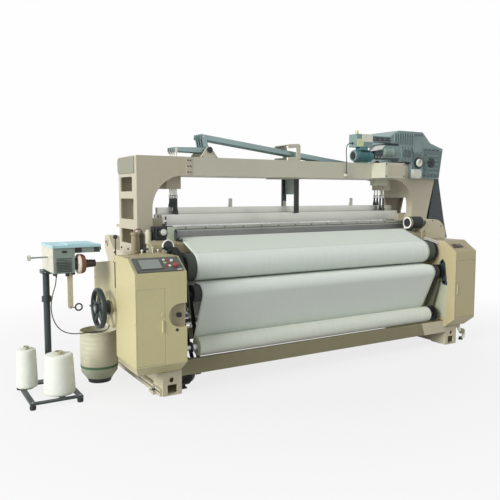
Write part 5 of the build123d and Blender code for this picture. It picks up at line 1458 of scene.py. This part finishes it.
for i in range(5):
    x = -1.69 + 0.045 * i
    pump.rod((x, -0.455, 1.084), (x, -0.455, 1.104 + 0.01 * (i % 3)), 0.006, rail_alloy, 14)
    pump.turned((x, -0.455, 1.102 + 0.01 * (i % 3)), upward,
                [(0, 0.006), (0.003, 0.011), (0.012, 0.011), (0.016, 0.007)],
                (pale_plastic, dark_steel, filter_bowl)[i % 3], 20)
pump.block((-1.705, -0.475, 1.0845), (-1.49, -0.435, 1.0905), plate_paint)
pump.hoop((-1.462, -0.446, 1.136), along_y, 0.048, 0.006, 0.01, white_plastic, 48, 12)
pump.turned((-1.462, -0.436, 1.136), -along_y, [(0, 0.047), (0.01, 0.047), (0.012, 0.03), (0.02, 0.012)],
            dark_paint, 36)
pump.done("frame", "dark_paint", 0.0006)

# %% [markdown]
# Beyond the left end of the warp sit dark brackets, a cutter and a yarn clamp. They are
# small plates and discs, but they give the machine its dense, worked-in look.

# %% Brackets at both ends of the cloth
brackets = Piece("end_brackets")
brackets.side([(-0.4, 1.176), (-0.33, 1.176), (-0.33, 1.25), (-0.36, 1.262), (-0.4, 1.22)],
              -1.372, 0.01, dark_paint)
brackets.turned((-1.364, -0.36, 1.238), along_x,
                [(0, 0.03), (0.012, 0.03), (0.015, 0.024), (0.015, 0.01), (0.024, 0.009)], dark_steel, 32)
brackets.block((-1.366, -0.425, 1.176), (-1.322, -0.352, 1.188), dark_steel)
brackets.side([(-0.46, 1.176), (-0.352, 1.176), (-0.352, 1.206), (-0.42, 1.216), (-0.46, 1.196)], 1.3,
              0.008, dark_paint)
brackets.bolt((-1.345, -0.425, 1.188), upward, 0.007, turned_steel)
brackets.bolt((1.308, -0.4, 1.196), along_x, 0.007, turned_steel)
for way, x in ((-1, -1.432), (1, 1.428)):
    brackets.side([(-0.8, 0.64), (-0.745, 0.64), (-0.7, 0.86), (-0.735, 0.9), (-0.765, 0.86)], x,
                  way * 0.008, dark_paint)
    for y, z in ((-0.765, 0.665), (-0.73, 0.872)):
        brackets.turned((x, y, z), along_x * way, [(0, 0.016), (0.018, 0.016), (0.02, 0.012)],
                        turned_steel, 20)
brackets.done("frame", "dark_paint", 0.0006)

# %% [markdown]
# At the right end of the reed sits a small black drum for the selvedge, the bound edge of
# the cloth. It is turned from one profile with a raised rim at each end, and a pale ring
# marks its inner face. The gear cover beside it is a plain solid that lacks only its screws.

# %% Selvedge drum and gear cover
selvedge_axis = (-0.405, 1.261)
selvedge = Piece("selvedge_drum")
selvedge.turned((1.2545, *selvedge_axis), along_x,
                [(0, 0.02), (0, 0.056), (0.0025, 0.06)], white_plastic, 56)
selvedge.turned((1.254, *selvedge_axis), along_x,
                [(0, 0.018), (0, 0.046), (0.001, 0.0465)], black_rubber, 56)
selvedge.turned((1.2568, *selvedge_axis), along_x,
                [(0, 0.056), (0.001, 0.0625), (0.012, 0.0628), (0.014, 0.06), (0.02, 0.06),
                 (0.022, 0.0628), (0.176, 0.0628), (0.1825, 0.06), (0.1828, 0.03)], black_rubber, 56)
selvedge.turned((1.2548, *selvedge_axis), -along_x, [(-0.001, 0.016), (0.004, 0.016), (0.006, 0.01)],
                dark_steel, 24)
selvedge.turned((1.43, -0.405, 1.245), along_x, [(0, 0.033), (0.13, 0.033)], dark_paint, 32)
selvedge.done("frame", "dark_paint", 0.0)
cover = Piece("gear_cover_screws")
spots = ((1.47, 1.075), (1.47, 1.17), (1.59, 1.275), (1.72, 1.215), (1.76, 1.08))
cover.bolts([(x, -0.4448, z) for x, z in spots], -along_y, 0.0065, dark_steel)
cover.done("frame", "frame_paint", 0.0004)

# %% [markdown]
# Heavy machines stand on anchors. Each pad gets a washer, a nut and the end of its stud,
# and the crossbeam is bolted to both feet.

# %% Anchors and frame bolts
frame_side = 1.6198
anchors = Piece("anchor_bolts")
for x in (-1.672, 1.672):
    for y in (-0.62, 0.62):
        anchors.turned((x, y, 0.0218), upward, [(0, 0.019), (0.0035, 0.019)], turned_steel, 28)
        anchors.turned((x, y, 0.0252), upward, [(0, 0.014), (0.012, 0.014), (0.0135, 0.012)], dark_steel, 6)
        anchors.rod((x, y, 0.001), (x, y, 0.052), 0.008, turned_steel, 16)
for way in (-1, 1):
    for y, z in ((-0.7, 0.94), (-0.7, 0.7), (-0.64, 0.3), (0.54, 0.3), (0.54, 0.86), (0.68, 1.11),
                 (0.44, 1.02)):
        anchors.bolt((way * frame_side, y, z), along_x * way, 0.011, dark_steel)
anchors.bolt_row((-1.05, 0.6898, 0.12), (1.05, 0.6898, 0.12), 4, along_y, 0.01, dark_steel)
anchors.done("frame", "frame_paint", 0.0)

# %% [markdown]
# The gear case is sheet steel with a slanted lid. Slots on its back let out warm air, and
# the shaft passes out through a flanged cover. A few low parts of the loom are made here
# too: a rail on the floor, a drain pipe and the end plate of the front crossbeam.

# %% Gear case, rail, drain, end plate and lever grip
case = Piece("gear_case_fittings")
case.turned((-1.9345, *wheel_axis), -along_x,
            [(-0.004, 0.06), (0.002, 0.06), (0.004, 0.056), (0.004, 0.0435), (0.01, 0.042),
             (0.01, 0.0262)], dark_steel, 40)
case.bolts([around(-1.9363, wheel_axis, 0.051, angle) for angle in circle(6)],
           -along_x, 0.0045, turned_steel)
for i in range(8):
    z = 0.56 + 0.03 * i
    case.block((-1.87, 0.1195, z), (-1.7, 0.1255, z + 0.01), cabinet_paint,
               Matrix.Rotation(radians(-25), 3, "X"))
for y, z in ((-0.425, 0.525), (0.095, 0.525), (0.095, 0.85), (-0.425, 1.03)):
    case.bolt((left_wall, y, z), -along_x, 0.0055, dark_steel)
case.block((-1.9118, -0.46, 0.83), (-1.9092, -0.4395, 1.03), black_rubber)
case.turned((-1.872, -0.149, 0.4865), -upward,
            [(-0.012, 0.0125), (0.002, 0.0125), (0.006, 0.0085), (0.022, 0.0055)], black_rubber, 20)
case.done("frame", "cabinet_paint", 0.0006)
rail = Piece("floor_rail")
rail.block((-1.668, -0.735, 0.0004), (-1.64, 0.3, 0.055), casting_paint)
rail.block((-1.6695, -0.734, 0.03), (-1.6675, 0.299, 0.038), dark_steel)
rail.done("frame", "frame_paint", 0.0015)
drain = Piece("drain_pipe")
drain.pipe([(1.79, -0.66, 0.15), (1.8, -0.664, 0.108), (1.838, -0.67, 0.088), (1.868, -0.672, 0.062),
            (1.862, -0.67, 0.026), (1.822, -0.668, 0.018)], 0.017, rail_alloy, 18)
drain.turned((1.838, -0.65, 0.09), -along_y, [(0, 0.026), (0.006, 0.03), (0.036, 0.03), (0.042, 0.022)],
             plate_paint, 32)
drain.turned((1.822, -0.668, 0.0004), upward, [(0, 0.024), (0.01, 0.024), (0.014, 0.018), (0.03, 0.016)],
             dark_steel, 28)
drain.done("frame", "frame_paint", 0.0006)
end_plate = Piece("beam_end_plate")
plate_face = -0.754
end_plate.front([(1.14, 0.2615), (1.489, 0.2615), (1.489, 0.1385), (1.185, 0.1385)],
                plate_face, 0.0038, casting_paint)
for x in (1.235, 1.455):
    for z in (0.17, 0.23):
        end_plate.bolt((x, plate_face, z), -along_y, 0.006, casting_paint)
end_plate.done("frame", "frame_paint", 0.0008)
grip = Piece("lever_grip")
grip.turned((-1.893, -0.42, 1.228), upward,
            [(-0.019, 0.005), (-0.014, 0.015), (-0.004, 0.0175), (0.006, 0.015), (0.0125, 0.007),
             (0.0135, 0.001)], black_rubber, 28)
grip.done("hand_lever", "dark_paint")
print("meshes in all:", len(bpy.data.meshes))

# %% [markdown]
# The set is a white studio: a wide floor that takes the loom's soft shadow and melts into
# a white surround further out, so that no horizon shows. Only camera and mirror rays see
# the white; the light that falls on the loom keeps its plain level. Close to the loom the
# floor is only partly white, which leaves the faintest of shadows.

# %% Floor and surround
floor_reach = 40.0
floor_mesh = bpy.data.meshes.new("floor")
floor_height = -0.0006       # just below the feet
quarters = ((-1, -1), (1, -1), (1, 1), (-1, 1))
corners = [(x * floor_reach, y * floor_reach, floor_height) for x, y in quarters]
floor_mesh.from_pydata(corners, [], [(0, 1, 2, 3)])
new_object("floor", floor_mesh)

ground = Finish("floor", (0.5, 0.5, 0.5, 1), 0.9)
rays = ground.add("LightPath").outputs
seen = ground.math("MAXIMUM", rays["Is Camera Ray"], rays["Is Glossy Ray"])
seen = ground.math("MAXIMUM", seen, rays["Is Transmission Ray"])
flat_spot = ground.place((1, 1, 0))
away = ground.add("VectorMath", [(0, flat_spot)], operation="LENGTH").outputs["Value"]
whiteness = ground.add("MapRange", [("Value", away), ("From Min", 1.6), ("From Max", 4.5), ("To Min", 0.8)])
fade = ground.times(whiteness.outputs["Result"], seen)
white = ground.add("Emission", [("Color", (0.99, 0.99, 0.99, 1)), ("Strength", 1.0)])
blend = ground.add("MixShader", [(0, fade), (1, ground.shader.outputs[0]), (2, white.outputs[0])])
ground.tree.links.new(blend.outputs[0], ground.tree.nodes["Material Output"].inputs["Surface"])
floor_mesh.materials.append(ground.material)
print("floor reaches", floor_reach, "m")

# %% [markdown]
# Two distant lamps light the loom: a soft key from the left, and a weak one from the front
# that opens the shadows. The world fills in the rest at a plain level, and shows itself as
# white only to the camera and in reflections.

# %% Lights
world = bpy.data.worlds.new("studio")
bpy.context.scene.world = world
world.use_nodes = True
backdrop = world.node_tree
fill = backdrop.nodes["Background"]
fill.inputs["Color"].default_value = (0.96, 0.98, 1.0, 1)
fill.inputs["Strength"].default_value = 0.52
bright = backdrop.nodes.new("ShaderNodeBackground")
bright.inputs["Color"].default_value = (0.99, 0.99, 0.99, 1)
kind = backdrop.nodes.new("ShaderNodeLightPath").outputs
seen = kind["Is Camera Ray"]
for ray in ("Is Transmission Ray", "Is Glossy Ray"):
    either = backdrop.nodes.new("ShaderNodeMath")
    either.operation = "MAXIMUM"
    backdrop.links.new(seen, either.inputs[0])
    backdrop.links.new(kind[ray], either.inputs[1])
    seen = either.outputs[0]
choice = backdrop.nodes.new("ShaderNodeMixShader")
for slot, socket in enumerate((seen, fill.outputs[0], bright.outputs[0])):
    backdrop.links.new(socket, choice.inputs[slot])
backdrop.links.new(choice.outputs[0], backdrop.nodes["World Output"].inputs["Surface"])


def lamp(name, direction, strength, softness):
    """A distant soft lamp that shines along a direction."""
    light = bpy.data.lights.new(name, "SUN")
    light.energy = strength
    light.angle = radians(softness)
    new_object(name, light).rotation_euler = Vector(direction).to_track_quat("-Z", "Y").to_euler()


lamp("key", (0.92, 0.2, -0.36), 2.75, 30)
lamp("front", (0.1, 0.85, -0.5), 0.12, 40)
bpy.context.scene.view_settings.view_transform = "Standard"
print("lamps:", len(bpy.data.lights))
